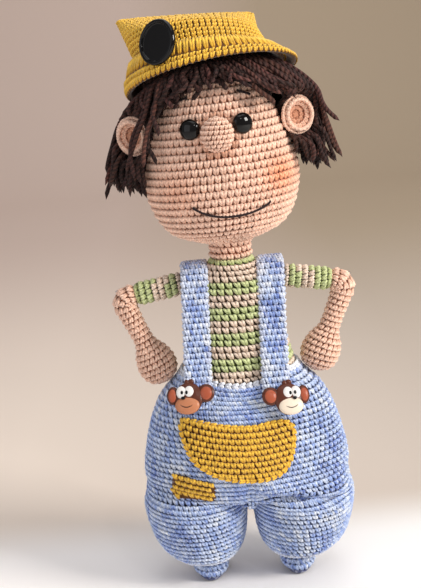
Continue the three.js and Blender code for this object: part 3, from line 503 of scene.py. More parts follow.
@dataclass(frozen=True)
class Stitch:
    """A crochet stitch: two plump strands that spread from one foot.

    Attributes:
        wide: Distance between stitches in a row.
        tall: Distance between rows.
        yarn: Radius of a strand.
        lean: Sideways drift of the head of the stitch, as a share of its width.
        foot: Half the distance between the strands' lower ends, as a share of the width.
        spread: The same for their upper ends.
        puff: How far the middle of a strand stands out, as a share of its radius.
        hollow: How dark the painted shade on the sides of the strands is.
        shadow: How dark the foot is, under the row below.
    """

    wide: float
    tall: float
    yarn: float
    lean: float = 0.0
    foot: float = 0.07
    spread: float = 0.28
    puff: float = 0.7
    hollow: float = 0.2
    shadow: float = 0.6

    def strands(self) -> tuple[Array, Array, Array]:
        """Shape both strands about the middle of the stitch.

        Returns:
            Points (across, up, out), the painted shade of each point, and the twist value of each corner.
        """
        shapes, shades, twists = [], [], []
        t = STRAND.along
        for side in (-1, 1):
            apart = self.foot + (self.spread - self.foot) * t ** 0.8
            across = self.wide * (self.lean * (t - 0.5) + side * apart)
            up = self.tall * (STRAND_LENGTH * t + STRAND_START)
            out = self.yarn * (self.puff * 1.5 * np.interp(t, *STRAND_RISE) - 0.75)
            thick = self.yarn * STRAND.open_share * np.interp(t, *STRAND_THICKNESS)
            angle = STRAND.angle - math.pi / 2 + 0.3
            shape = np.stack([across + thick * np.cos(angle), up, out + thick * 0.9 * np.sin(angle)], -1)
            shapes.append(shape)
            # Painted shade: each strand darkens where it sinks towards the ground, and at its foot under the
            # row below.
            depth = np.clip((shape[:, 2] / self.yarn + 0.6) / 1.6, 0, 1)
            foot_shade = 1 - self.shadow * np.exp(-(t / FOOT_SHADOW_REACH) ** 2)
            shades.append((1 - self.hollow * (1 - depth) * (1 - 0.5 * t)) * foot_shade)
            twists.append(TURN * (2 * STRAND.corner_turn + side * STRAND_TURNS * STRAND.corner_along))
        return np.concatenate(shapes), np.concatenate(shades), np.concatenate(twists)

    def faces(self) -> Array:
        """Give the corners of both strands' triangles."""
        return np.concatenate([STRAND.faces, STRAND.faces + len(STRAND.along)])

    def lay(self, weave: Weave, spots: Array, up: Array, out: Array, colours: Colour | Array,
            rng: np.random.Generator, bend: float = FLAT, stretch: float | Array = 1.0) -> None:
        """Lay stitches on a skin.

        Args:
            weave: The mesh that takes them.
            spots: Middle of each stitch.
            up: Direction of each stitch.
            out: The way the skin faces at each stitch.
            colours: Colour of all stitches, of each stitch or of its two strands.
            rng: Source of the small unevenness.
            bend: Radius of the skin across the stitch.
            stretch: How much taller each stitch is drawn.
        """
        out = unit(out)
        up = unit(up - out * np.sum(up * out, -1, keepdims=True))
        across = np.cross(up, out)
        shape, shade, twist = self.strands()
        count = len(spots)
        sway = rng.normal(0, 0.05, (count, 1))
        size = 1 + rng.normal(0, 0.04, (count, 1))
        side = shape[None, :, 0] * size + sway * shape[None, :, 1]
        high = shape[None, :, 1] * size * np.reshape(stretch, (-1, 1))
        lift = shape[None, :, 2] + rng.normal(0, 0.06 * self.yarn, (count, 1)) - side ** 2 / (2 * bend)
        places = (spots[:, None] + side[..., None] * across[:, None] + high[..., None] * up[:, None]
                  + lift[..., None] * out[:, None])
        tints = np.asarray(colours, float)
        pair = tints if tints.ndim == 3 else np.broadcast_to(tints[..., None, :], (count, 2, 3))
        # Painted shade: the shaded parts of each strand turn darker and more saturated.
        deep = shade[None, :, None]
        tint = np.repeat(pair, len(STRAND.along), 1) ** (2.2 - 1.2 * deep) * deep
        tint = tint * (1 + rng.normal(0, 0.05, (count, 1, 1)))
        weave.add(places, self.faces(), tint, twist)


class Skin:
    """A closed skin, sampled on rings that run from its foot to its top."""

    def __init__(self, rings: Array) -> None:
        """Keep the rings and work out the way that the skin faces.

        Args:
            rings: Places, rings by points by 3, each ring turning from +X towards +Y.
        """
        step = np.linalg.norm(np.diff(rings, axis=0), axis=-1).mean(1)
        length = np.concatenate([[0], np.cumsum(step)])
        even = np.linspace(0, length[-1], max(len(rings), 60))
        i = np.clip(np.searchsorted(length, even) - 1, 0, len(rings) - 2)
        t = ((even - length[i]) / np.maximum(step[i], 1e-9))[:, None, None]
        self.rings = rings[i] * (1 - t) + rings[i + 1] * t
        self.length = float(length[-1])
        around = np.roll(self.rings, -1, 1) - np.roll(self.rings, 1, 1)
        self.rise = np.gradient(self.rings, axis=0)
        self.facing = unit(np.cross(around, self.rise))
        self.girth = np.linalg.norm(self.rings - np.roll(self.rings, 1, 1), axis=-1).sum(1)

    def read(self, values: Array, s: Array, t: Array) -> Array:
        """Read a value of the skin at shares of its height and of its girth."""
        rows, sides = self.rings.shape[:2]
        r = np.clip(s, 0, 1) * (rows - 1)
        i = np.minimum(r.astype(int), rows - 2)
        down = (r - i)[..., None]
        c = np.mod(t, 1) * sides
        j = c.astype(int) % sides
        over = (c - np.floor(c))[..., None]
        k = (j + 1) % sides
        return ((values[i, j] * (1 - over) + values[i, k] * over) * (1 - down)
                + (values[i + 1, j] * (1 - over) + values[i + 1, k] * over) * down)

    def at(self, s: Array, t: Array, off: float | Array = 0.0) -> Array:
        """Give places on the skin, or a distance outside it."""
        return self.read(self.rings, s, t) + unit(self.read(self.facing, s, t)) * np.reshape(off, (-1, 1))

    def base(self, weave: Weave, colour: Paint, depth: float, template: Template) -> None:
        """Add the closed ground under the stitches.

        Args:
            weave: The mesh that takes it.
            colour: Colour at a place.
            depth: How far it lies inside the skin.
            template: The ball that is wrapped over the skin.
        """
        places = self.at(template.along, template.angle / TURN, -depth)
        weave.add(places, template.faces, colour(places))

    def cover(self, weave: Weave, stitch: Stitch, colour: Paint, rng: np.random.Generator,
              span: tuple[float, float] = (0.0, 1.0), drift: float = 0.35) -> None:
        """Cover the skin with rows of stitches.

        Args:
            weave: The mesh that takes them.
            stitch: The stitch.
            colour: Colour at a place.
            rng: Source of the small unevenness.
            span: First and last share of the height that is covered.
            drift: Sideways shift from row to row, in stitches.
        """
        rows = max(int(round(self.length * (span[1] - span[0]) / stitch.tall)), 1)
        for row in range(rows):
            s = span[0] + (row + 0.5) / rows * (span[1] - span[0])
            girth = float(np.interp(s * (len(self.girth) - 1), np.arange(len(self.girth)), self.girth))
            if girth < 1:
                continue
            count = max(int(round(girth / stitch.wide)), 4)
            t = (np.arange(count) + drift * row) / count
            share = np.full(count, s)
            spots, rise = self.at(share, t), self.read(self.rise, share, t)
            stretch = np.linalg.norm(rise, axis=-1) * (len(self.rings) - 1) / self.length
            stitch.lay(weave, spots, rise, self.read(self.facing, share, t), colour(spots), rng, girth / TURN,
                       np.clip(stretch, 0.6, 1.9))


def crocheted(name: str, skin: Skin, stitch: Stitch, colour: Paint, ground: Paint, depth: float,
              yarn: Material, rng: np.random.Generator, template: Template = BALL,
              closed: Optional[Skin] = None, **rows: float | tuple[float, float]) -> bpy.types.Object:
    """Make a crocheted piece: rows of stitches over a closed ground.

    Args:
        name: Name of the piece.
        skin: The skin that carries the stitches.
        stitch: The stitch.
        colour: Colour of the stitches at a place.
        ground: Colour of the ground at a place, dark as painted shade where it shows between the stitches.
        depth: How far the ground lies inside the skin.
        yarn: The finish.
        rng: Source of the small unevenness.
        template: The ball that is wrapped for the ground.
        closed: The ground's own skin, where the other is open.
        rows: Span and drift of the rows.

    Returns:
        The new object, at the origin.
    """
    weave = Weave(name)
    (closed or skin).base(weave, ground, depth, template)
    skin.cover(weave, stitch, colour, rng, **rows)
    return weave.finish(yarn)


def ovals(keys: Sequence[Sequence[float]], rings: int = 60, sides: int = 64) -> Array:
    """Make the rings of a stuffed body.

    Args:
        keys: For each key its x, y, z, half width, half depth and slope along X.
        rings: Number of rings.
        sides: Points in each ring.

    Returns:
        Places, rings by points by 3.
    """
    x, y, z, wide, deep, slope = spline(np.array(keys, float), rings).T[:, :, None]
    angle = np.arange(sides) / sides * TURN
    across = np.maximum(wide, 0) * np.cos(angle)
    return np.stack([x + across, y + np.maximum(deep, 0) * np.sin(angle), z + slope * across], -1)


def drawn_in(ring: Array, shares: Sequence[float], lift: float = 0.0) -> Array:
    """Shrink a ring towards its middle in steps.

    Args:
        ring: The ring's places.
        shares: Its size at each step.
        lift: How far the middle stands above the ring's own.

    Returns:
        Places, rings by points by 3.
    """
    middle = ring.mean(0) + (0, 0, lift)
    return np.stack([middle + (ring - middle) * share for share in shares])


def lengths_of(path: Array) -> Array:
    """Give the length of a path from its start to each of its points."""
    return np.concatenate([[0], np.cumsum(np.linalg.norm(np.diff(path, axis=0), axis=-1))])


def along_path(path: Array, wide: Array, deep: Array, side: Sequence[float], sides: int = 64,
               square: float = 1.0) -> Array:
    """Make the rings of a body along a path.

    Args:
        path: Middle of each ring.
        wide: Half width of each ring, along side.
        deep: Half depth of each ring.
        side: Direction of the width.
        sides: Points in each ring.
        square: 1 for round sections, less for squarer ones.

    Returns:
        Places, rings by points by 3.
    """
    slope = unit(np.gradient(path, axis=0))
    over = unit(np.broadcast_to(side, path.shape))
    top = unit(np.cross(slope, over))
    angle = np.arange(4000) / 4000 * TURN
    cosine = np.sign(np.cos(angle)) * np.abs(np.cos(angle)) ** square
    sine = np.sign(np.sin(angle)) * np.abs(np.sin(angle)) ** square
    gone = lengths_of(np.stack([cosine * wide.max(), sine * deep.max()], -1))
    even = np.arange(sides) / sides * gone[-1]
    cosine, sine = np.interp(even, gone, cosine), np.interp(even, gone, sine)
    return (path[:, None] + (wide[:, None] * cosine)[..., None] * over[:, None]
            + (deep[:, None] * sine)[..., None] * top[:, None])


def read_closed(grid: Array, around: Array, section: Array) -> Array:
    """Read places of a grid that closes both ways, at shares of a turn round each."""
    rows, columns = grid.shape[:2]
    ring, turn = around * rows, section * columns
    i, j = ring.astype(int) % rows, turn.astype(int) % columns
    k, m = (i + 1) % rows, (j + 1) % columns
    a, b = (ring % 1)[:, None], (turn % 1)[:, None]
    return (grid[i, j] * (1 - a) * (1 - b) + grid[k, j] * a * (1 - b)
            + grid[i, m] * (1 - a) * b + grid[k, m] * a * b)


def banded(spots: Array, edges: Sequence[float], first: Colour, second: Colour) -> Array:
    """Give stripes that change colour at each edge."""
    return np.where((np.searchsorted(edges, spots) % 2 == 0)[:, None], np.array(first), np.array(second))


def plain(colour: Colour, shade: float = 1.0) -> Paint:
    """Give one colour everywhere."""
    return lambda places: np.broadcast_to(np.array(colour) * shade, (len(places), 3))


def place(piece: bpy.types.Object, body: str, nodes: Sequence[str]) -> None:
    """Fix a finished piece to its body.

    Args:
        piece: The piece.
        body: The CAD body that it rides on.
        nodes: The CAD nodes that it stands for.
    """
    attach(piece, body)
    settle(piece, nodes)


def settle(piece: bpy.types.Object, nodes: Sequence[str]) -> None:
    """Hide the CAD nodes that a piece stands for, and log its triangle count."""
    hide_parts(*nodes)
    LOG.info("%s: %d triangles", piece.name, len(piece.data.polygons))


# The doll's skins

def placed(places: Array, matrix: Matrix) -> Array:
    """Move places by a matrix in millimetres."""
    turn = np.array(matrix)
    return places @ turn[:3, :3].T + turn[:3, 3]


def turned(degrees: float, axis: str) -> Matrix:
    """Make a turn about an axis."""
    return Matrix.Rotation(math.radians(degrees), 4, axis)


NOD_HEIGHT = 190          # the middle of the head's nod above the ground
HEAD_LEAN = -3
CAP_SPOT = (1.6, 0, 78.5)     # the middle of the cap's mouth in the head's frame
CAP_SIDE_TILT = -5
CAP_BACK_TILT = -18
HEAD_FRAME = Matrix.Translation((0, 0, NOD_HEIGHT)) @ turned(HEAD_LEAN, "Y")
CAP_FRAME = (HEAD_FRAME @ Matrix.Translation(CAP_SPOT)
             @ turned(CAP_SIDE_TILT, "Y") @ turned(CAP_BACK_TILT, "X"))


def seat_of(node: str) -> Matrix:
    """Find where a CAD node sits: its middle, with its thinnest direction as the third axis, facing forward.

    Args:
        node: The CAD node.

    Returns:
        Its frame, in millimetres, before the shift along Y.
    """
    points = np.array([v.co for v in frame["nodes"][node].data.vertices]) / MM - (0, MIDDLE_Y, 0)
    low, high = points.min(0), points.max(0)
    middle = (low + high) / 2
    axes = np.linalg.svd(points - points.mean(0), full_matrices=False)[2]
    out = Vector(axes[2] if axes[2][1] < 0 else -axes[2])
    side = Vector((0, 0, 1)).cross(out).normalized()
    up = out.cross(side)
    matrix = Matrix((side, up, out)).transposed().to_4x4()
    return Matrix.Translation(Vector(middle)) @ matrix


def front_of(skin: Skin, places: Array) -> tuple[Array, Array]:
    """Find the spots on a skin's front that lie behind given places seen from the front.

    Args:
        skin: The skin.
        places: X and Z of each place.

    Returns:
        The shares of height and girth of each spot.
    """
    front = 0.5, 1.0
    s, t = np.meshgrid(np.linspace(0, 1, 220), np.linspace(*front, 160), indexing="ij")
    s, t = s.ravel(), t.ravel()
    points = skin.at(s, t)
    found = [int(np.argmin((points[:, 0] - x) ** 2 + (points[:, 2] - z) ** 2)) for x, z in places]
    s, t = s[found], t[found]
    step, reach = 0.002, 0.01
    for _ in range(3):      # each round brings the spot nearer
        here = skin.at(s, t)
        up, over = (skin.at(s + step, t) - here) / step, (skin.at(s, t + step) - here) / step
        gap = places - here[:, ::2]
        area = up[:, 0] * over[:, 2] - up[:, 2] * over[:, 0]
        rise = (gap[:, 0] * over[:, 2] - gap[:, 1] * over[:, 0]) / area
        turn = (up[:, 0] * gap[:, 1] - up[:, 2] * gap[:, 0]) / area
        s = np.clip(s + np.clip(rise, -reach, reach), 0, 1)
        t = t + np.clip(turn, -reach, reach)
    return s, t


def smoothest(first: Array, second: Array, radius: float) -> Array:
    """Join two fields with a rounded valley."""
    share = np.clip(0.5 + 0.5 * (second - first) / radius, 0, 1)
    return second * (1 - share) + first * share - radius * share * (1 - share)


@dataclass
class Head:
    """Stuffed head with its face: eyes, nose, ears, mouth and eyebrows.

    Attributes:
        profile: Radius and height of the skin, from the chin up, in the head's frame.
        depth: Depth of the head over its width.
        stitch: The stitch of the skin.
        cheeks: X, Z, strength and reach of each blush.
        nose_shade_ring: X, Z, half width and half height of the ring of painted shade round the nose.
        nose_middle: Place of the nose.
        nose_size: Half its width, depth and height.
        eye_size: Half the width and the height of an eye's dome.
        eye_turn: How far each eye looks aside, as the slope of its axis.
        post: Radius and length of an eye's post.
        mouth: X and Z along the mouth.
        eyebrows: The same for both eyebrows.
    """

    profile: Keys = ((0, -4), (11, -3.6), (20, -1), (27.5, 2.4), (32.4, 7.0), (36.6, 15), (39.2, 26.5),
                     (38.4, 37), (35.6, 47), (33.3, 55), (30.6, 63), (26.5, 72), (20.5, 81), (11, 88),
                     (0, 90.5))
    depth: float = 0.93
    stitch: Stitch = Stitch(3.4, 3.85, 1.04, lean=0.1, shadow=0.42)
    cheeks: Keys = ((27, 220, 0.8, 8.5), (-24.5, 215, 0.3, 8.5))
    nose_shade_ring: tuple[float, ...] = (-2.7, 241.5, 8.8, 9.4)
    nose_middle: tuple[float, ...] = (-2.75, -35.2, 243)
    nose_size: tuple[float, ...] = (7.5, 6.6, 8.0)
    eye_size: tuple[float, float] = (5.2, 3.0)
    eye_turn: float = 0.42
    post: tuple[float, float] = (1.6, 10)
    mouth: Keys = ((-17.3, 208.8), (-14.5, 206.6), (-8.5, 204.0), (-1.2, 202.9), (8, 203.3), (15, 205.2),
                   (18.6, 206.6), (20.6, 208.6))
    eyebrows: tuple[Keys, Keys] = (((8.0, 262.2), (10.8, 261.2), (14.6, 259.6)),
                                   ((-21.6, 258.0), (-18.6, 259.6), (-15.4, 260.6)))
    skin: Skin = field(init=False)

    def __post_init__(self) -> None:
        """Shape the skin."""
        keys = [(0, 0, z, r, r * self.depth, 0) for r, z in self.profile]
        self.skin = Skin(placed(ovals(keys, 120, 120), HEAD_FRAME))

    def clear(self, places: Array, gap: float) -> Array:
        """Move places in the head's frame out of the head, and a gap further."""
        radius = np.interp(places[..., 2], *np.array(self.profile).T[::-1]) + gap
        far = np.hypot(places[..., 0], places[..., 1] / self.depth)
        grow = np.maximum(radius / np.maximum(far, 1e-6), 1)
        return places * np.stack([grow, grow, np.ones_like(grow)], -1)

    def shade(self, places: Array) -> Array:
        """Give the skin's colour, with a blush on both cheeks and a ring of painted shade round the nose."""
        colour = np.broadcast_to(np.array(SKIN), (len(places), 3))
        front = places[:, 1] < 0
        for x, z, strength, reach in self.cheeks:
            far = np.hypot(places[:, 0] - x, places[:, 2] - z) / reach
            share = (strength * np.exp(-far ** 2) * front)[:, None]
            colour = colour * (1 - share) + np.array(BLUSH) * share
        # Painted shade: the skin darkens in a ring where the nose meets the face.
        x, z, wide, high = self.nose_shade_ring
        rim = np.hypot((places[:, 0] - x) / wide, (places[:, 2] - z) / high)
        nose_ring_shade = (0.45 * np.exp(-((rim - 1) / 0.16) ** 2) * front)[:, None]
        return colour ** (1 + nose_ring_shade) * (1 - 0.6 * nose_ring_shade)

    def build(self, rng: np.random.Generator) -> None:
        """Build the head's pieces."""
        yarn = YarnFinish("skin_yarn").material()
        # The ground is the skin's colour darkened as painted shade in the gaps between the stitches.
        piece = crocheted("head_skin", self.skin, self.stitch, self.shade,
                          lambda p: self.shade(p) ** 2 * 0.42, 0.7, yarn, rng, DENSE, drift=0.12)
        place(piece, "head", ["head"])
        self.nose(yarn, rng)
        for side, sign in SIDES:
            self.ear(side, yarn, rng)
            self.eye(side, sign)
        self.threads()

    def nose(self, yarn: Material, rng: np.random.Generator) -> None:
        """Build the nose, a small crocheted ball."""
        x, y, z = self.nose_middle
        wide, deep, high = self.nose_size
        skin = Skin(ovals([(x, y, z - high * math.cos(a), wide * math.sin(a), deep * math.sin(a), 0)
                           for a in np.linspace(0, math.pi, 40)]))
        stitch = Stitch(2.4, 2.4, 0.72, lean=0.35, hollow=0.4, shadow=0.4)
        piece = crocheted("nose_ball", skin, stitch, plain(SKIN), plain(SKIN_SHADOW), 0.5, yarn, rng,
                          drift=0.45)
        place(piece, "head", ["nose"])

    def ear(self, side: str, yarn: Material, rng: np.random.Generator) -> None:
        """Build one cup-shaped ear."""
        seat = seat_of(f"ear_{side}")
        hollow = [(r * 6.6, -1.8 + 3.4 * r ** 3) for r in np.linspace(0, 1, 8)]
        rim = [(7.8, 2.5)]
        outer = [(9.1 * math.cos(a), 0.6 - 3.4 * math.sin(a)) for a in np.linspace(-0.35, math.pi / 2, 12)]
        keys = [(0, 0, z, r, r, 0) for r, z in (hollow + rim + outer)[::-1]]
        skin = Skin(placed(ovals(keys, sides=72), seat))

        def shaded_cup(places: Array) -> Array:
            """Darken the skin with painted shade towards the bottom of the cup."""
            local = placed(places, seat.inverted())
            share = np.exp(-(np.hypot(local[:, 0], local[:, 1]) / 5.2) ** 4) * (local[:, 2] < 3)
            return np.array(SKIN) ** (1 + 0.9 * share[:, None]) * (1 - 0.4 * share[:, None])

        stitch = Stitch(2.6, 2.9, 1.12, lean=0.5, puff=0.5, hollow=0.12, shadow=0.22)
        # The ground is darker still, as painted shade in the gaps between the stitches.
        piece = crocheted(f"ear_cup_{side}", skin, stitch, shaded_cup, lambda p: shaded_cup(p) ** 1.5 * 0.6, 0.4,
                          yarn, rng, drift=0.5)
        place(piece, "head", [f"ear_{side}"])

    def eye(self, side: str, sign: int) -> None:
        """Build one glossy safety eye, with its post."""
        low, high = (np.array(corner) / MM - (0, MIDDLE_Y, 0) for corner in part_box(f"eye_{side}"))
        centre = Vector(((low[0] + high[0]) / 2, low[1] + 2.6, (low[2] + high[2]) / 2))
        outward = Vector((sign * self.eye_turn, -1, 0.05)).normalized()
        wide, tall = self.eye_size
        radius, length = self.post
        ball = bmesh.new()
        bmesh.ops.create_uvsphere(ball, u_segments=48, v_segments=24, radius=1,
                                  matrix=Matrix.Diagonal((wide, wide, tall, 1)))
        bmesh.ops.create_cone(ball, cap_ends=True, segments=24, radius1=radius, radius2=radius, depth=length,
                              matrix=Matrix.Translation((0, 0, -1 - length / 2)))
        turn = outward.to_track_quat("Z", "Y").to_matrix().to_4x4()
        piece = solid(f"eye_bead_{side}", ball, BLACK_GLOSS, Matrix.Translation(centre) @ turn)
        place(piece, "head", [f"eye_{side}"])

    def threads(self) -> None:
        """Sew the mouth and the eyebrows."""
        yarn = YarnFinish("dark_thread", roughness=0.8, sheen=0.1).material()
        lines = {"mouth": self.mouth, "eyebrow_left": self.eyebrows[0], "eyebrow_right": self.eyebrows[1]}
        for node, line in lines.items():
            s, t = front_of(self.skin, spline(np.array(line), 24))
            for _ in range(3):
                for share in (s, t):
                    share[1:-1] = (share[:-2] + share[1:-1] * 2 + share[2:]) / 4
            weave = Weave(f"{node}_thread")
            outward = unit(self.skin.read(self.skin.facing, s, t))
            lay_yarn(weave, LONG, self.skin.at(s, t, 1.15)[None], 0.6, outward[None], np.array([DARK]), 3.0)
            place(weave.finish(yarn), "head", [node])


def lay_yarn(weave: Weave, template: Template, paths: Array, radius: float | Array, outward: Array,
             colours: Array, pitch: float) -> None:
    """Lay lengths of plied yarn along paths.

    Args:
        weave: The mesh that takes them.
        template: The strand.
        paths: Strands by points by 3.
        radius: Radius of the yarn.
        outward: The way that the section's top faces.
        colours: Colour of each strand.
        pitch: Length of one turn of the plies.
    """
    turns = np.linalg.norm(np.diff(paths, axis=1), axis=-1).sum(1)[:, None, None] / pitch
    twist = TURN * (2 * template.corner_turn[None] + 2 * turns * template.corner_along[None])
    weave.add(tube(template, paths, radius, outward), template.faces, colours, twist)


def solid(name: str, work: bmesh.types.BMesh, material: Material, matrix: Matrix) -> bpy.types.Object:
    """Write a smooth moulded piece into the scene.

    Args:
        name: Name of the piece.
        work: The shape, in millimetres.
        material: Its finish.
        matrix: Its place in the doll.

    Returns:
        The new object, at the origin.
    """
    shift = Matrix.Diagonal((MM, MM, MM, 1)) @ Matrix.Translation((0, MIDDLE_Y, 0))
    bmesh.ops.transform(work, matrix=shift @ matrix, verts=work.verts)
    bmesh.ops.recalc_face_normals(work, faces=work.faces)
    mesh = bpy.data.meshes.new(name)
    work.to_mesh(mesh)
    work.free()
    mesh.shade_smooth()
    mesh.materials.append(material)
    return link(name, mesh)


BLACK_GLOSS = HardFinish("black_gloss", tone(10, 6, 5), 0.08, unevenness=0.02, gloss=0.3).material()


@dataclass
class Hair:
    """Lengths of plied yarn that hang from under the cap.

    A place round the head is a share of a turn, from the doll's left towards its back.

    Attributes:
        keys: Shift along X and Y, height, half width and half depth of the outer shape, in the head's frame.
        crown: Height, half width and half depth of the closed ground under the cap.
        layers: Distance of each layer from the outer shape, and its number of lengths.
        yarn: Radius of the yarn.
        pitch: Length of one turn of its plies.
        parts: Last share of a turn of the left, back and right masses, and where the left one begins.
        ends: Share of a turn, and the height where the hair ends there.
        ears: First and last share of a turn above each ear, and the height where the outer hair ends there.
        flare: Share of a turn, and how far the ends may stand out there.
        swing: Share of a turn, and how far the lengths lean sideways there, in shares of a turn.
        loose: Share of a turn, and how loosely the lengths lie there.
        top: Height where every length begins.
        steps: Points along each length.
    """

    keys: Keys = ((-2, 5, 15, 52, 42), (-2, 5, 27, 55, 44), (-1, 5, 38, 54.5, 43.5), (1, 4, 55.5, 52.5, 41),
                  (3.5, 3, 66, 50, 38), (2.5, 1, 75, 44, 34), (0, 0, 84, 34.5, 27.5), (0, 0, 91, 18, 15),
                  (0, 0, 93, 5, 5))
    crown: Keys = ((76, 4, 4), (76.5, 25, 23.2), (81, 22, 20.5), (86, 15.5, 14.5), (91.5, 6, 6), (92, 1, 1))
    layers: tuple[tuple[float, int], ...] = ((0.5, 88), (-1.6, 112), (-4.2, 104), (-6.9, 88), (-9.6, 72))
    yarn: float = 1.1
    pitch: float = 6.5
    parts: tuple[float, ...] = (0.045, 0.455, 0.526, 0.972)
    ends: Keys = (
        (0, 29), (0.03, 31), (0.07, 34), (0.12, 30), (0.25, 25), (0.38, 27), (0.44, 26), (0.475, 28),
        (0.5, 30.5), (0.52, 31.5), (0.58, 32.5), (0.6, 33), (0.6125, 29.5), (0.623, 27), (0.63, 50),
        (0.6375, 59), (0.65, 68.5), (0.6625, 72.3), (0.675, 73), (0.7, 74.8), (0.725, 75.5), (0.75, 78),
        (0.7875, 79), (0.8, 80), (0.8125, 78), (0.825, 74.8), (0.8375, 69.5), (0.85, 69.5), (0.8625, 70.5),
        (0.872, 60), (0.885, 50), (0.897, 36), (0.91, 33.5), (0.93, 32.5), (0.95, 31), (0.975, 29.5), (1, 29))
    ears: Keys = ((0.546, 0.602, 63), (0.87, 0.91, 64))
    flare: Keys = (
        (0, 10), (0.03, 10), (0.1, 5), (0.25, 4), (0.4, 4), (0.47, 6), (0.5, 6), (0.53, 2), (0.6, 0.5),
        (0.66, 1), (0.72, 2), (0.8, 3.5), (0.86, 2.5), (0.9, 2), (0.95, 7), (0.975, 10), (1, 10))
    swing: Keys = ((0, 0), (0.5, 0), (0.62, 0.012), (0.74, 0.008), (0.78, -0.035), (0.86, -0.05),
                   (0.95, -0.02), (1, 0))
    loose: Keys = ((0, 1), (0.45, 1), (0.6, 0.6), (0.7, 0.8), (0.88, 1), (1, 1))
    top: float = 92.5
    steps: int = 26

    def build(self, head: Head, cap: "Cap", rng: np.random.Generator) -> None:
        """Build the four masses of hair.

        Args:
            head: The head that they lie on.
            cap: The cap that they lie under.
            rng: Source of the unevenness.
        """
        finish = YarnFinish("hair_yarn", roughness=0.7, sheen=0.04, ply_depth=1.0, mottle=0.25,
                            groove=0.45).material()
        weaves = {name: Weave(f"hair_locks_{name}") for name in ("fringe", "left", "right", "back")}
        keys = [(0, 0, z, wide, deep, 0) for z, wide, deep in self.crown]
        crown = Skin(placed(ovals(keys, sides=96), HEAD_FRAME))
        # The ground under the hair is the hair colour darkened as painted shade under the cap.
        crown.base(weaves["back"], plain(HAIR, 0.3), 0, BALL)
        middle = np.array(HEAD_FRAME @ Vector((0, 4, 50)))
        left, back, right, again = self.parts
        for depth, count in self.layers:
            turn, paths = self.lengths(depth, count, head, cap, rng)
            shade = self.shades(depth, count, rng)
            outward = unit((paths - middle) * (1, 1, 0.2))
            chosen = {"fringe": (turn > right) & (turn < again), "left": (turn >= again) | (turn < left),
                      "right": (turn > back) & (turn <= right), "back": (turn >= left) & (turn <= back)}
            for name, kept in chosen.items():
                size = self.yarn * rng.uniform(0.9, 1.1, (kept.sum(), 1))
                lay_yarn(weaves[name], LOCK, paths[kept], size, outward[kept], shade[kept], self.pitch)
        for name, weave in weaves.items():
            place(weave.finish(finish), "head", [f"hair_{name}"])

    def shades(self, depth: float, count: int, rng: np.random.Generator) -> Array:
        """Give the colour of each length of a layer, darker the deeper it lies, as painted shade."""
        layer_shade = np.interp(depth, (-5, 0.5), (0.5, 1.15))
        bright = rng.choice((0.5, 0.8, 1.1, 1.7), (count, 1), p=(0.25, 0.3, 0.3, 0.15))
        green, blue = rng.uniform(0.9, 1.02, count), rng.uniform(0.9, 1.15, count)
        return np.array(HAIR) * layer_shade * bright * np.stack([np.ones(count), green, blue], -1)

    def lengths(self, depth: float, count: int, head: Head, cap: "Cap", rng: np.random.Generator
                ) -> tuple[Array, Array]:
        """Lead one layer of yarn from the crown down to its ends, in tufts.

        Args:
            depth: Distance of the layer from the outer shape.
            count: Number of lengths.
            head: The head that they lie on.
            cap: The cap that they lie under.
            rng: Source of the unevenness.

        Returns:
            The share of a turn of each end, and the paths.
        """
        turn = np.mod((np.arange(count) + rng.uniform(-0.4, 0.4, count)) / count, 1)
        tufts = int(count / 3)
        tuft = (turn * tufts).astype(int) % tufts
        low = self.lowest(turn, depth)
        low = low + rng.normal(0, 2, tufts)[tuft] + rng.normal(0, 1.6, count)
        ragged = (rng.random(count) < 0.3) & (low < 40) & (depth > -4)
        low = low + ragged * rng.uniform(4, 20, count)
        pull = ((tuft + 0.5) / tufts - turn) * 0.6 + rng.normal(0, 0.004, tufts)[tuft]
        share = np.linspace(0, 1, self.steps)[None]
        wave = rng.uniform(0, TURN, (2, count, 1))

        def waving(strength: Array, start: Array) -> Array:
            """Sway each length more and more towards its end."""
            return strength * np.sin(share * rng.uniform(6, 11, (count, 1)) + start) * share

        swing = np.interp(turn, *np.array(self.swing).T)
        t = (turn[:, None] + swing[:, None] * (1 - share) + pull[:, None] * share ** 2
             + waving(rng.uniform(0.003, 0.016, (count, 1)), wave[0])
             + rng.normal(0, 0.01, (count, 1)) * share ** 2)
        reach = (np.interp(turn, *np.array(self.flare).T) * rng.uniform(0, 1, tufts)[tuft] ** 1.2
                 * (1 + depth / 12))
        reach = reach + (rng.random(count) < 0.08) * rng.uniform(2, 5, count) * (low < 45)
        loose = rng.uniform(0.4, 2.4, (count, 1)) * np.interp(turn, *np.array(self.loose).T)[:, None]
        off = depth + waving(loose, wave[1]) + reach[:, None] * share ** 4
        paths = self.outer(t, self.top + (low[:, None] - self.top) * share, off)
        paths = cap.tuck(placed(head.clear(paths, self.yarn + 0.6), HEAD_FRAME), self.yarn + 0.5)
        over = ((turn > 0.59) & (turn < 0.88) & (depth > -1))[:, None, None]
        return turn, np.where(over, paths, self.behind_ears(paths))

    def lowest(self, turn: Array, depth: float) -> Array:
        """Give the height where the hair of a layer ends, before it is made uneven."""
        face = np.clip((turn - 0.5) / 0.08, 0, 1) * np.clip((1 - turn) / 0.05, 0, 1)
        low = np.interp(turn + 0.0033 * depth * np.sign(turn - 0.75) * face, *np.array(self.ends).T)
        for first, last, height in self.ears:
            if depth > -4:
                low = np.where((turn > first) & (turn < last), height, low)
        return low

    def outer(self, t: Array, z: Array, off: Array) -> Array:
        """Give places of the outer shape, moved out, at shares of a turn and heights."""
        x, y, level, wide, deep = spline(np.array(self.keys)[::-1], 300).T
        order = np.argsort(level)
        x, y, wide, deep = (np.interp(z, level[order], column[order]) for column in (x, y, wide, deep))
        return np.stack([x + (wide + off) * np.cos(TURN * t), y + (deep + off) * np.sin(TURN * t), z], -1)

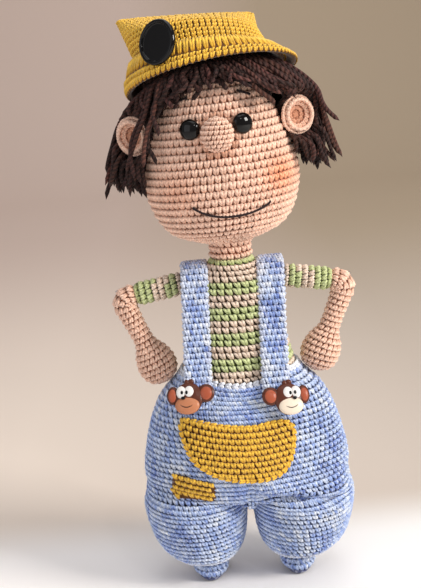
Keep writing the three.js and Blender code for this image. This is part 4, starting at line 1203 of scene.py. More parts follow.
    def behind_ears(self, places: Array) -> Array:
        """Lead the hair that would pass through an ear behind it."""
        for side, _ in SIDES:
            seat = seat_of(f"ear_{side}")
            local = placed(places, seat.inverted())
            limit = np.interp(np.hypot(local[..., 0], local[..., 1]), (9.5, 15), (-4.6, 12))
            local[..., 2] = np.minimum(local[..., 2], limit)
            places = placed(local, seat)
        return places


@dataclass
class Cap:
    """Flat-seamed cap with a turned-up band and a large button.

    Attributes:
        crown: Shift, height, half width, half depth and slope of the crown's rings, in the cap's frame.
        band: The same for the outside of the band.
        wall: Distance from the crown's outside that the hair keeps to.
        lining: Distance from the crown's outside to its inside.
        band_wall: Distances of the band's inside and outside from its rings.
        edge: Share of the band's height that its rolled edge takes.
        button_rim: Radius and height along the button's half section, from its back to its dished front.
    """

    crown: Keys = ((0, 4, 39, 32, -0.05), (-2, 11, 34, 30.5, -0.11), (-4, 18, 33.3, 28.2, -0.12),
                   (-5.6, 24.15, 33, 24.6, -0.136), (-6.4, 29.6, 33.6, 14.2, -0.155),
                   (-7, 34, 34, 3.4, -0.17))
    band: Keys = ((0, -0.3, 41, 33, 0), (-0.8, 3.85, 39.4, 32.3, -0.044), (-2, 11, 34, 30.5, -0.11))
    wall: float = 3.2
    lining: float = 2.4
    band_wall: tuple[float, float] = (0.35, 3.3)
    edge: float = 0.36
    button_rim: Keys = ((0, -1.7), (8.6, -1.7), (10.6, -1.0), (11.2, 0.2), (10.9, 1.3), (10.2, 1.75),
                        (9.4, 1.5), (8.9, 0.7), (7.5, 0.45), (0, 0.3))

    def rings(self, keys: Keys, off: float, count: int) -> Array:
        """Make rings of the cap, moved out by a distance."""
        moved = [(x, 0, z, wide + off, deep + off, slope) for x, z, wide, deep, slope in keys]
        return ovals(moved, count, 120)

    def tuck(self, places: Array, gap: float) -> Array:
        """Draw places of the doll that are inside the cap in to its inside.

        Args:
            places: Places in the doll, in millimetres.
            gap: Distance to keep from the cap's inside.

        Returns:
            The places.
        """
        local = placed(places, CAP_FRAME.inverted())
        x, level, wide, deep = np.array(self.crown)[:, :4].T
        below = np.maximum(-local[..., 2], 0) * 1.6
        middle = np.interp(local[..., 2], level, x)
        wide = np.interp(local[..., 2], level, wide) - self.wall - gap + below
        deep = np.interp(local[..., 2], level, deep) - self.wall - gap + below
        grow = 1 / np.maximum(np.hypot((local[..., 0] - middle) / wide, local[..., 1] / deep), 1)
        local = np.stack([middle + (local[..., 0] - middle) * grow, local[..., 1] * grow, local[..., 2]], -1)
        return placed(local, CAP_FRAME)

    def build(self, rng: np.random.Generator) -> None:
        """Build the crown, the band and the button."""
        finish = YarnFinish("cap_yarn", roughness=0.85).material()
        shares = (0.8, 0.5, 0.2, 0.01)
        outer = self.rings(self.crown, 0, 60)
        lid = drawn_in(outer[-1], shares, 0.6)
        inner = self.rings(self.crown, -self.lining, 60) - (0, 0, 1.6)
        shell = np.concatenate([drawn_in(inner[-1], shares)[::-1], inner[::-1], outer, lid])
        cover = Skin(placed(np.concatenate([outer, lid[:3]]), CAP_FRAME))
        ground = Skin(placed(shell, CAP_FRAME))
        piece = crocheted("cap_crown_rows", cover, Stitch(2.7, 2.6, 0.72, lean=0.4, shadow=0.6),
                          plain(MUSTARD), plain(CAP_SHADOW), 0.6, finish, rng, DENSE, ground, drift=0.5)
        place(piece, "cap", ["cap_crown"])
        self.band_piece(finish, rng)
        self.button()

    def band_piece(self, finish: Material, rng: np.random.Generator) -> None:
        """Build the band: tall stitches above a rolled edge."""
        inside, outside = (placed(self.rings(self.band, off, 30), CAP_FRAME) for off in self.band_wall)
        outer = Skin(outside)
        loop = np.concatenate([inside[::-1], outer.rings[::2]]).transpose(1, 0, 2)
        hoop = Template.hoop(120, 20)
        weave = Weave("cap_band_ribs")
        weave.add(read_closed(loop, np.mod(hoop.angle / TURN, 1), hoop.along), hoop.faces, CAP_SHADOW)
        rib = Stitch(3.0, 7.6, 0.85, lean=0.5, spread=0.26, foot=0.1, shadow=0.6)
        rolled = Stitch(2.9, 2.7, 0.8, lean=0.5, shadow=0.5)
        outer.cover(weave, rib, plain(MUSTARD), rng, (self.edge, 1.0), drift=0)
        outer.cover(weave, rolled, plain(MUSTARD), rng, (0.0, self.edge), drift=0.4)
        place(weave.finish(finish), "cap", ["cap_band"])

    def button(self) -> None:
        """Build the dished black button."""
        seat = seat_of("cap_button") @ Matrix.Translation((0, 0.6, 2.6)) @ turned(-7, "X")
        work = bmesh.new()
        line = [work.verts.new((r, 0, z)) for r, z in spline(np.array(self.button_rim), 60)]
        edges = [work.edges.new(pair) for pair in zip(line, line[1:])]
        bmesh.ops.spin(work, geom=line + edges, cent=(0, 0, 0), axis=(0, 0, 1), angle=TURN, steps=72,
                       use_merge=True, use_duplicate=False)
        bmesh.ops.remove_doubles(work, verts=work.verts, dist=0.001)
        place(solid("cap_button_disc", work, BLACK_GLOSS, seat), "cap", ["cap_button"])


@dataclass
class Body:
    """Striped torso, neck, sleeves and bare arms.

    Attributes:
        torso: Height, half width and half depth of the torso.
        stripes: Heights where its stripes change, with green below the first.
        neck: Height and radius of the neck.
        sleeve: Distance from the shoulder and radius of a sleeve.
        sleeve_stripes: Distances from the doll's middle where its stripes change, beige before the first.
        shoulder: Sideways distance and height of the shoulder.
        droop: Angle of the upper arm below level, in degrees.
        upper: Length of the upper arm.
        bend: Turn of the elbow, in degrees.
        corner: Reach of the elbow's round corner to each side.
        arm: Distance from the arm's start in the sleeve, and its radius.
        hand: Distance from the arm's end and radius, from the wrist on.
        flatness: Depth of the hand over its width.
    """

    torso: Keys = ((103, 3, 3), (103.6, 20, 17), (106, 26, 22), (117, 29, 24), (143.5, 22.5, 17.5),
                   (160, 20.6, 15.6), (166.5, 18.2, 13.8), (171.5, 13.6, 12.2), (175, 11.2, 11),
                   (175.9, 3, 3))
    stripes: tuple[float, ...] = (111.3, 119.9, 126.4, 133.3, 139.7, 146, 152.9, 159.7, 166, 172.7)
    neck: Keys = ((176.2, 2), (177, 9.6), (182, 10.2), (188, 11.4), (194, 11), (200, 5), (201.4, 1))
    sleeve: Keys = ((-5.4, 0.35), (-5.0, 2.95), (-3.6, 4.95), (0, 5.35), (8, 5.35), (16, 5.35), (19.2, 5.15),
                    (20.2, 3.15))
    sleeve_stripes: tuple[float, ...] = (30, 34.3, 41.3)
    shoulder: tuple[float, float] = (31.0, 163.5)
    droop: float = 9.0
    upper: float = 29.0
    bend: float = 104.0
    corner: float = 8.0
    arm: Keys = ((0, 1.0), (0.5, 4.2), (2.5, 5.2), (7, 5.9), (12, 5.3), (18, 4.8))
    hand: Keys = ((28, 4.6), (23, 5.2), (17, 8.3), (10.5, 9.8), (4.5, 8.4), (1, 4.3), (0, 0.6))
    flatness: float = 0.93
    skin: Skin = field(init=False)

    def __post_init__(self) -> None:
        """Shape the torso's skin."""
        self.skin = Skin(ovals([(0, 0, z, wide, deep, 0) for z, wide, deep in self.torso], 90, 110))

    def striped(self, places: Array) -> Array:
        """Give the stripe's colour at each place of the torso."""
        return banded(places[:, 2], self.stripes, GREEN, BEIGE)

    def build(self, rng: np.random.Generator) -> None:
        """Build every piece of the torso and arms."""
        knit = YarnFinish("sweater_yarn").material()
        yarn = YarnFinish("arm_yarn").material()
        stitch = Stitch(3.8, 3.3, 1.04, lean=-0.45, shadow=0.55, hollow=0.3)
        # The ground is the stripe colour darkened as painted shade in the gaps between the stitches.
        piece = crocheted("torso_rows", self.skin, stitch, self.striped,
                          lambda p: self.striped(p) ** 2 * 0.16, 0.8, knit, rng, DENSE, drift=0.3)
        place(piece, "torso", ["torso"])
        neck = Skin(ovals([(0, 0, z, r, r, 0) for z, r in self.neck]))
        piece = crocheted("neck_rows", neck, Stitch(3.5, 3.5, 1.0, lean=-0.3, shadow=0.5), plain(SKIN),
                          plain(SKIN_SHADOW), 0.6, yarn, rng, drift=0.2)
        place(piece, "neck", ["neck"])
        for side, sign in SIDES:
            self.sleeve_piece(side, sign, knit, rng)
            self.arm_piece(side, sign, yarn, rng)

    def along(self, sign: int, bend: float = 0.0) -> Array:
        """Give the direction of an arm, before or after its elbow's turn in degrees."""
        angle = math.radians(-self.droop - bend)
        return np.array([sign * math.cos(angle), 0, math.sin(angle)])

    def start(self, sign: int) -> Array:
        """Give the shoulder's place."""
        return np.array([sign * self.shoulder[0], 0, self.shoulder[1]])

    def sleeve_piece(self, side: str, sign: int, knit: Material, rng: np.random.Generator) -> None:
        """Build one striped sleeve."""
        reach, size = spline(np.array(self.sleeve), 60).T
        rings = along_path(self.start(sign) + reach[:, None] * self.along(sign), size, size, (0, 1, 0))

        def striped(places: Array) -> Array:
            """Give the stripe's colour along the sleeve."""
            return banded(np.abs(places[:, 0]), self.sleeve_stripes, BEIGE, GREEN)

        stitch = Stitch(3.1, 3.2, 0.9, lean=-0.35, shadow=0.5, hollow=0.3)
        # The ground is the stripe colour darkened as painted shade in the gaps between the stitches.
        piece = crocheted(f"sleeve_rows_{side}", Skin(rings), stitch, striped, lambda p: striped(p) * 0.15,
                          0.6, knit, rng, drift=0.3)
        place(piece, f"upper_arm_{side}", [f"sleeve_{side}"])

    def arm_piece(self, side: str, sign: int, yarn: Material, rng: np.random.Generator) -> None:
        """Build one bare arm, from inside the sleeve to the round hand."""
        start, out, down = self.start(sign), self.along(sign), self.along(sign, self.bend)
        elbow = start + out * self.upper
        swing = np.linspace(0, 1, 12)[:, None]
        corner = ((1 - swing) ** 2 * (elbow - out * self.corner) + 2 * swing * (1 - swing) * elbow
                  + swing ** 2 * (elbow + down * self.corner))
        path = np.concatenate([start + out * np.array([20.5, 20.8])[:, None], corner,
                               elbow + down * np.linspace(self.corner + 1, 51, 24)[:, None]])
        gone = lengths_of(path)
        last = gone[-1]
        keys = np.array(self.arm + tuple((last - far, radius) for far, radius in self.hand))
        steps = np.linspace(0, last, 110)
        size = np.interp(gone, *spline(keys, 200).T)
        flat = np.interp(gone, [last - 24, last - 12], [1, self.flatness])
        wide, deep = np.interp(steps, gone, size * flat), np.interp(steps, gone, size)
        smooth = np.stack([np.interp(steps, gone, path[:, k]) for k in range(3)], -1)
        skin = Skin(along_path(smooth, wide, deep, (0, 1, 0)))
        stitch = Stitch(3.0, 3.05, 0.87, lean=0.35, shadow=0.45)
        piece = crocheted(f"arm_rows_{side}", skin, stitch, plain(SKIN), plain(SKIN_SHADOW), 0.6, yarn, rng,
                          drift=0.5)
        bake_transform(piece)
        settle(piece, [f"elbow_{side}", f"forearm_{side}"])


@dataclass
class Trousers:
    """Overalls: hips and two balloon legs from one rounded form, with straps, pocket, patch, edging and feet.

    Attributes:
        hips: Shift along X and Y, height, half width and half depth of the hips.
        leg: The same for the left leg.
        foot: The same for the left foot.
        stitch: The stitch of the overalls.
        ankle: Height of the pale ring above each foot.
        valley: Width of the round valley between the hips and a leg.
        fold: Height of the fold across the left leg, its fall along X, and the X where it has that height.
        fold_waves: Depth, height above the fold and half width of each of its waves.
        dip: Radius of the dip of the front edge between the straps, and half its width.
        strap: Y and Z along the front half of a strap, from the bib to the top of the shoulder.
        strap_middle: X of the strap's middle at the shoulder, its drift along Z, and that height.
        strap_size: Half width and half thickness of a strap.
        waist: Half width, half depth and height of the edging round the waist.
        pocket: X and Z round the pocket.
        patch: The same for the patch.
    """

    hips: Keys = ((0, -1, 45, 20, 12), (0, -1, 51.5, 50, 29.5), (0, -2, 60, 54, 34), (0, -2, 70, 54, 36),
                  (0, -2, 89.6, 49.5, 34), (0, -1, 104, 43, 31), (0, 0, 113, 34.5, 27.8),
                  (0, 0, 118, 31.0, 26.2))
    leg: Keys = ((24, -2, 10, 10.5, 11.5), (24, -2, 12, 12.2, 13.5), (26, -1.5, 15.5, 18, 22.5),
                 (27.9, -1, 24, 23.9, 27.5), (28.8, -1, 42, 27.5, 33), (27.6, -1, 51.5, 26.7, 30),
                 (25.6, -1, 60, 20.4, 24), (24, -1, 70, 6, 8))
    foot: Keys = ((24, -3.5, 0, 5, 9), (24, -3.5, 0.6, 7, 11.6), (24, -3.5, 3.5, 8.3, 12.5),
                  (24, -2.5, 9, 9.2, 11.5), (24, -1.5, 16, 8.2, 10.5), (24, -1.5, 17.4, 3, 4))
    stitch: Stitch = Stitch(3.1, 2.95, 0.9, lean=-0.5, shadow=0.45)
    ankle: float = 13.5
    valley: float = 5.0
    fold: tuple[float, float, float] = (54.4, 0.17, 5.5)
    fold_waves: Keys = ((3.4, 0, 2.2), (-2.2, 6.5, 5), (-1.0, -5.5, 4))
    dip: tuple[float, float] = (51, 47)
    strap: Keys = ((31.4, 104.5), (29.8, 110), (27.6, 118), (21.8, 131), (16.6, 143.5), (12.6, 160),
                   (11.2, 166.5), (7.4, 171.5), (0, 173.6))
    strap_middle: tuple[float, float, float] = (19.8, 0.0429, 172)
    strap_size: tuple[float, float] = (6.3, 1.5)
    waist: tuple[float, float, float] = (30.8, 25.8, 116.9)
    pocket: Keys = ((-30.6, 97.4), (-25.3, 97.4), (-18.8, 96.4), (-12.8, 95.4), (-5.2, 94.4), (2.3, 93.9),
                    (8.6, 94.3), (15.2, 95.0), (20.8, 94), (23, 92), (23.8, 88.8), (23.4, 84), (22.2, 78.2),
                    (19.8, 73), (16, 69), (10.4, 66.9), (4, 66.5), (-2.8, 66.9), (-9.7, 68.2),
                    (-16.2, 70.2), (-21.9, 73.3), (-26.4, 76.9), (-29.2, 81.8), (-31.2, 88),
                    (-32.2, 92.5), (-31.9, 95.8))
    patch: Keys = ((-38.7, 69.5), (-33.2, 68.8), (-26.9, 67.6), (-18.9, 65.4), (-17.9, 60.7), (-18.8, 54.9),
                   (-26.4, 55.4), (-32.6, 55.8), (-39.6, 55.9), (-40, 62.5))

    def reach(self, keys: Keys, places: Array, sign: int = 1) -> Array:
        """Give how far places lie outside one oval body."""
        table = spline(np.array(keys), 200)
        x, y, _, wide, deep = (np.interp(places[..., 2], table[:, 2], column) for column in table.T)
        beyond = np.maximum(table[0, 2] - places[..., 2], 0) + np.maximum(places[..., 2] - table[-1, 2], 0)
        far = np.hypot((places[..., 0] - sign * x) / wide, (places[..., 1] - y) / deep)
        return (far - 1) * np.minimum(wide, deep) + beyond * 2

    def outside(self, places: Array) -> Array:
        """Give how far places lie outside the trousers, with the fold across one leg."""
        body = self.reach(self.hips, places)
        for sign in (1, -1):
            body = smoothest(body, self.reach(self.leg, places, sign), self.valley)
        x, y, z = np.moveaxis(places, -1, 0)
        height, fall, middle = self.fold
        above = z - height + (x - middle) * fall
        fold = sum(depth * np.exp(-((above - rise) / half) ** 2) for depth, rise, half in self.fold_waves)
        front = np.clip(-y / 12 - 0.6, 0, 1) * np.clip((x - 2) / 6, 0, 1) * np.clip((56 - x) / 12, 0, 1)
        groove = 1.6 * np.exp(-(x / 2.5) ** 2) * np.clip((84 - z) / 20, 0, 1)
        return body + fold * front + groove

    def rings(self, centres: Array, reach: float) -> Array:
        """Find the outline of the trousers round each centre, by halving the distance again and again."""
        angle = np.arange(128) / 128 * TURN
        ray = np.stack([np.cos(angle), np.sin(angle), np.zeros(128)], -1)
        low, high = np.zeros((len(centres), 128)), np.full((len(centres), 128), reach)
        for _ in range(26):
            middle = (low + high) / 2
            beyond = self.outside(centres[:, None] + middle[..., None] * ray) > 0
            high, low = np.where(beyond, middle, high), np.where(beyond, low, middle)
        return centres[:, None] + low[..., None] * ray

    def melange(self, rng: np.random.Generator) -> Paint:
        """Give the mixed blue and white of the yarn, which pools into soft patches."""
        waves = rng.normal(0, 1, (9, 3)) * rng.uniform(0.18, 0.5, (9, 1))
        phases = rng.uniform(0, TURN, 9)
        shades = np.array(DENIM_SHADES)
        steps = np.linspace(0, 1, len(shades))

        def colour(places: Array) -> Array:
            """Give a colour for both strands of each stitch of a row."""
            pool = np.sin(places @ waves.T + phases).sum(-1) / 9 * 0.7
            level = 0.5 + pool[:, None] + rng.normal(0, 0.16, (len(places), 2))
            tint = np.stack([np.interp(np.clip(level, 0, 1), steps, channel) for channel in shades.T], -1)
            pale = 0.7 * np.clip(1.6 - np.abs(places[:, 2] - self.ankle) / 2, 0, 1)[:, None, None]
            return tint * (1 - pale) + np.array(WHITE) * pale
        return colour

    def dipped(self, places: Array) -> Array:
        """Lower the waist's top edge between the straps."""
        radius, half = self.dip
        drop = np.maximum(np.sqrt(np.maximum(radius ** 2 - places[..., 0] ** 2, 0)) - half, 0)
        drop = drop * (places[..., 1] < 0) * np.clip((places[..., 2] - 100) / 16, 0, 1)
        return places - drop[..., None] * (0, 0, 1)

    def close(self, rings: Array) -> Skin:
        """Draw the first and last rings in to a point."""
        shares = (0.02, 0.4, 0.75, 0.95)
        return Skin(np.concatenate([drawn_in(rings[0], shares), rings, drawn_in(rings[-1], shares[::-1])]))

    def build(self, rng: np.random.Generator) -> None:
        """Build every piece of the overalls."""
        denim = YarnFinish("overalls_yarn", mottle=0.2, fleck=0.35).material()
        mustard = YarnFinish("pocket_yarn").material()
        white = YarnFinish("edging_yarn").material()
        z = np.linspace(51.75, 116, 90)
        outline = self.dipped(self.rings(np.stack([z * 0, z * 0 - 1.5, z], -1), 80))
        hips = Skin(outline)
        self.denim_piece("hips", hips, denim, rng, 0.8, DENSE, self.close(outline))
        for side, sign in SIDES:
            self.leg_piece(side, sign, denim, rng)
            self.foot_piece(side, sign, denim, rng)
            self.strap_piece(side, sign, denim, rng)
            Charm(side, sign).build()
        self.panels(hips, mustard, rng)
        self.edging(white, rng)

    def denim_piece(self, node: str, skin: Skin, denim: Material, rng: np.random.Generator, fill: float,
                    template: Template, closed: Optional[Skin] = None, **rows: tuple[float, float]) -> None:
        """Build one stuffed piece in the overalls' stitch.

        Args:
            node: The CAD node that it stands for.
            skin: The skin that carries the stitches.
            denim: The finish.
            rng: Source of the pools of colour and the small unevenness.
            fill: How tightly it is stuffed; not used.
            template: The ball that is wrapped for the ground.
            closed: The ground's own skin, where the other is open.
            rows: Span of the rows.
        """
        part, _, side = node.partition("_")
        name = f"{part}_rows_{side}".rstrip("_")
        piece = crocheted(name, skin, self.stitch, self.melange(rng), plain(DENIM_SHADOW), 0.7, denim, rng,
                          template, closed, **rows)
        place(piece, "torso", [node])

    def leg_piece(self, side: str, sign: int, denim: Material, rng: np.random.Generator) -> None:
        """Build one balloon leg."""
        z = np.linspace(11.6, 51.5, 70)
        table = spline(np.array(self.leg), 200)
        x = np.interp(z, table[:, 2], table[:, 0]) * sign
        rings = self.rings(np.stack([x, z * 0 - 1.5, z], -1), 60)
        rings[..., 0] = sign * np.maximum(sign * rings[..., 0], 0.6)
        self.denim_piece(f"leg_{side}", Skin(rings), denim, rng, 0.8, DENSE, self.close(rings))

    def foot_piece(self, side: str, sign: int, denim: Material, rng: np.random.Generator) -> None:
        """Build one small tapered foot."""
        skin = Skin(ovals([(sign * x, y, z, wide, deep, 0) for x, y, z, wide, deep in self.foot], sides=72))
        self.denim_piece(f"foot_{side}", skin, denim, rng, 0.9, BALL, span=(0.22, 1.0))

    def strap_piece(self, side: str, sign: int, denim: Material, rng: np.random.Generator) -> None:
        """Build one strap, over the shoulder from front to back."""
        half = np.array(self.strap)
        line = np.concatenate([half * (-1, 1), half[-2::-1]])
        top, drift, height = self.strap_middle

        def middle(z: Array) -> Array:
            """Give the X of the strap's middle at each height."""
            return sign * top - drift * (height - z)

        count = 90
        path = spline(np.stack([middle(line[:, 1]), *line.T], -1), count)
        ends = np.minimum(np.arange(count), np.arange(count)[::-1])
        wide = self.strap_size[0] * np.clip(ends / 2, 0.05, 1)
        skin = Skin(along_path(path, wide, np.minimum(wide, self.strap_size[1]), (1, 0, 0), square=0.45))
        blend = self.melange(rng)

        def colour(places: Array) -> Array:
            """Give the yarn's colour, paler at the strap's edges."""
            edge = (np.abs(places[:, 0] - middle(places[:, 2])) > 4.6)[:, None, None]
            return np.where(edge, 0.5, 0) * np.array(WHITE) + np.where(edge, 0.5, 1) * blend(places)

        stitch = Stitch(2.9, 3.1, 0.9, lean=-0.4, spread=0.3, shadow=0.45)
        piece = crocheted(f"strap_rows_{side}", skin, stitch, colour, plain(DENIM_SHADOW), 0.5, denim, rng,
                          DENSE, drift=0.3)
        place(piece, "torso", [f"strap_{side}"])

    def panel(self, weave: Weave, skin: Skin, outline: Array, thick: float, stitch: Stitch,
              top: Callable[[Array], Array], rng: np.random.Generator) -> None:
        """Lay a flat crocheted panel on a skin.

        Args:
            weave: The mesh that takes it.
            skin: The skin that carries it.
            outline: X and Z round the panel, as seen from the front.
            thick: Its thickness.
            stitch: Its stitch.
            top: Height of its first row at each X, which the other rows follow.
            rng: Source of the small unevenness.
        """
        middle = outline.mean(0)
        loop = np.concatenate([outline, outline[:1]])
        angles = np.unwrap(np.arctan2(*(loop - middle).T[::-1]))
        if angles[-1] < angles[0]:
            angles, loop = angles[::-1], loop[::-1]
        radii = np.linalg.norm(loop - middle, axis=-1)

        def rim(angle: Array) -> Array:
            """Give the panel's reach at each angle."""
            return np.interp(np.mod(angle - angles[0], TURN) + angles[0], angles, radii)

        level = np.sin(BALL.along * math.pi)
        ray = np.stack([np.cos(BALL.angle), np.sin(BALL.angle)], -1)
        s, t = front_of(skin, middle + ray * (rim(BALL.angle) * level)[:, None])
        lift = np.where(BALL.along < 0.5, 0.3, thick - 0.6 - 0.5 * level ** 8)
        weave.add(skin.at(s, t, lift), BALL.faces, CAP_SHADOW)
        low, high = outline.min(0), outline.max(0)
        for row in range(int((high[1] - low[1]) / stitch.tall) + 2):
            x = np.arange(low[0], high[0], stitch.wide) + (row % 2) * stitch.wide * 0.45
            off = np.stack([x, top(x) - (row + 0.5) * stitch.tall], -1) - middle
            keep = np.hypot(*off.T) < rim(np.arctan2(off[:, 1], off[:, 0])) - 0.6
            if not keep.any():
                continue
            s, t = front_of(skin, (off + middle)[keep])
            stitch.lay(weave, skin.at(s, t, thick - 0.3), skin.read(skin.rise, s, t),
                       skin.read(skin.facing, s, t), MUSTARD, rng)

    def chain(self, weave: Weave, skin: Skin, line: Array, off: float, stitch: Stitch, colour: Colour,
              rng: np.random.Generator) -> None:
        """Lay a row of chain stitches along a line on a skin."""
        length = lengths_of(line)
        spots = np.arange(stitch.tall / 2, length[-1], stitch.tall)
        s, t = front_of(skin, np.stack([np.interp(spots, length, line[:, k]) for k in (0, 1)], -1))
        middle = skin.at(s, t, off)
        stitch.lay(weave, middle, np.gradient(middle, axis=0), skin.read(skin.facing, s, t), colour, rng)

    def panels(self, hips: Skin, mustard: Material, rng: np.random.Generator) -> None:
        """Build the half-moon pocket with its edging, and the sewn patch."""
        corners = np.array(self.pocket)
        weave = Weave("pocket_rows")
        self.panel(weave, hips, spline(corners, 120), 2.4, Stitch(3.1, 3.0, 0.92, lean=-0.3, shadow=0.6),
                   lambda x: 94.2 + 0.0042 * (x - 3) ** 2, rng)
        place(weave.finish(mustard), "torso", ["pocket"])
        weave = Weave("pocket_chain")
        line = spline(np.concatenate([corners, corners[:1]]), 240)
        self.chain(weave, hips, line, 2.3, Stitch(3.0, 3.3, 0.78, spread=0.26, puff=0.45, shadow=0.35),
                   tuple(c * 1.12 for c in MUSTARD), rng)
        place(weave.finish(mustard), "torso", ["pocket_edging"])
        weave = Weave("patch_rows")
        corners = np.array(self.patch)
        self.panel(weave, hips, spline(np.concatenate([corners, corners[:1]]), 80), 1.9,
                   Stitch(3.0, 2.9, 0.9, lean=-0.3, shadow=0.6), lambda x: 69.8 - 0.18 * (x + 39), rng)
        place(weave.finish(mustard), "torso", ["patch"])

    def edging(self, white: Material, rng: np.random.Generator) -> None:
        """Build the pale chain round the waist opening."""
        count = 54
        wide, deep, height = self.waist
        angle = (np.arange(count) + 0.5) / count * TURN
        ring = self.dipped(np.stack([wide * np.cos(angle), deep * np.sin(angle), height + 0 * angle], -1))
        out = unit(np.stack([np.cos(angle) / wide, np.sin(angle) / deep, 0 * angle + 0.02], -1))
        up = unit(np.roll(ring, -1, 0) - np.roll(ring, 1, 0))
        weave = Weave("waist_chain")
        Stitch(3.4, 3.35, 1.0, spread=0.3, shadow=0.3).lay(weave, ring + out * 0.6, up, out, WHITE, rng)
        place(weave.finish(white), "torso", ["waist_edging"])


@dataclass
class Charm:
    """Moulded animal-head button at one corner of the bib.

    Attributes:
        side: The doll's side that it is on.
        sign: The sign of X on that side.
        black: Colour of its eyes, nose and mouth.
    """

    side: str
    sign: int
    black: Colour = tone(14, 10, 10)

    def blobs(self) -> list[tuple[Spot, Spot, Colour]]:
        """Give the middle, the half sizes and the colour of each moulded form."""
        brown, red, white = tone(92, 48, 34), tone(172, 88, 62), tone(240, 236, 232)
        # Painted shade: the muzzle of the charm on the doll's right is tan, while the left one keeps its
        # cream.
        muzzle_shaded_on_right = tone(244, 226, 204) if self.sign > 0 else tone(196, 128, 92)
        facing = self.facing()
        forms = [((0, 0, -0.3), (7.3, 8.2, 2.1), brown), ((-0.9, 8.2, -0.3), (1.3, 1.6, 1.0), brown),
                 ((1.2, 8.5, -0.3), (1.6, 1.5, 1.0), brown)]
        for way in (-1, 1):
            near = 1 if way * facing < 0 else 0.7
            x, y = way * (6.2 + 2.6 * near), 2.4 - 0.8 * (way * facing > 0)
            forms += [((x, y, -0.6), (4.5 * near, 4.7, 1.5), brown),
                      ((x + way * 0.2, y - 0.2, 0.4), (3 * near, 3.4, 1), red),
                      ((facing + way * 2.0, 2.9, 1.2), (2.5, 3.2, 0.9), white),
                      ((facing * 1.2 + way * 1.2, 2.7, 2.0), (0.7, 0.95, 0.4), self.black)]
        return forms + [((0.35 * facing, -3.8, 0.7), (6.3, 4.6, 2.0), muzzle_shaded_on_right),
                        ((facing * 1.5, -0.2, 2.5), (1.1, 0.8, 0.5), self.black)]

    def facing(self) -> float:
        """Give how far the face is turned aside."""
        return 1.9 if self.sign > 0 else -1.6

    def build(self) -> None:
        """Build the head, ears, mask, muzzle and face of the button."""
        seat = seat_of(f"overalls_button_{self.side}")
        weave = Weave(f"button_animal_{self.side}")
        girth = BALL.open_share * np.sin(BALL.along * math.pi)
        ball = np.stack([np.cos(BALL.angle) * girth, np.sin(BALL.angle) * girth,
                         -np.cos(BALL.along * math.pi)], -1)
        for centre, size, colour in self.blobs():
            weave.add(placed(ball * size + centre, seat), BALL.faces, colour)
        x = np.linspace(-3.6, 3.6, 12)
        smile = np.stack([x + 0.4 * self.facing(), -5.0 + 0.13 * x ** 2, 2.6 - 0.04 * x ** 2], -1)
        mouth = tube(LOCK, smile[None], 0.24, np.array([0, 0, 1.0]))
        weave.add(placed(mouth, seat), LOCK.faces, self.black)
        paint = YarnFinish(f"moulded_paint_{self.side}", roughness=0.28, sheen=0, ply_depth=0, fuzz=0.02,
                           mottle=0.04)
        place(weave.finish(paint.material()), "torso", [f"overalls_button_{self.side}"])


@dataclass
class Inside:
    """Filling of the head and torso, and the finish of the wires, washers and post.

    Attributes:
        depth: How far the filling lies inside a skin.
        lumps: How uneven it is.
    """

    depth: float = 4.0
    lumps: float = 0.8

    def build(self, head: Head, body: Body, rng: np.random.Generator) -> None:
        """Fill the skins and finish the hidden hardware."""
        fibre = YarnFinish("fibre_filling", roughness=0.95, ply_depth=0, fuzz=0.9, mottle=0.1).material()
        for home, skin in (("head", head.skin), ("torso", body.skin)):
            weave = Weave(f"{home}_fibre")
            depth = -self.depth - rng.uniform(0, self.lumps, len(BALL.along))
            points = skin.at(BALL.along * 0.94 + 0.03, BALL.angle / TURN, depth)
            weave.add(points, BALL.faces, tone(244, 241, 234))
            place(weave.finish(fibre), home, [f"{home}_filling"])
        wire = HardFinish("drawn_wire", tone(180, 181, 184), 0.3, metallic=1.0).material()
        washer = HardFinish("washer_plastic", tone(238, 238, 234), 0.4).material()
        for words, finish in ((("wire", "post"), wire), (("washer",), washer)):
            for node, piece in frame["nodes"].items():
                if any(word in node for word in words):
                    piece.data.materials.clear()
                    piece.data.materials.append(finish)


@dataclass(frozen=True)
class Lamp:
    """A soft square light.

    Attributes:
        name: Its name.
        spot: Its place, in metres.
        target: The place that it faces.
        size: Its width, in metres.
        power: Its power, in watts.
        colour: Its colour.
    """

    name: str
    spot: Spot
    target: Spot
    size: float
    power: float
    colour: Colour = (1.0, 1.0, 1.0)

    def build(self) -> None:
        """Hang the light."""
        light = bpy.data.lights.new(self.name, "AREA")
        light.size = self.size
        light.energy = self.power
        light.color = self.colour
        lamp = link(self.name, light)
        lamp.location = self.spot
        aim = Vector(self.target) - Vector(self.spot)
        lamp.rotation_euler = aim.to_track_quat("-Z", "Y").to_euler()


DOLL, BEHIND = (0, 0, 0.16), (0, 1.6, 0)      # what the lights face, in metres


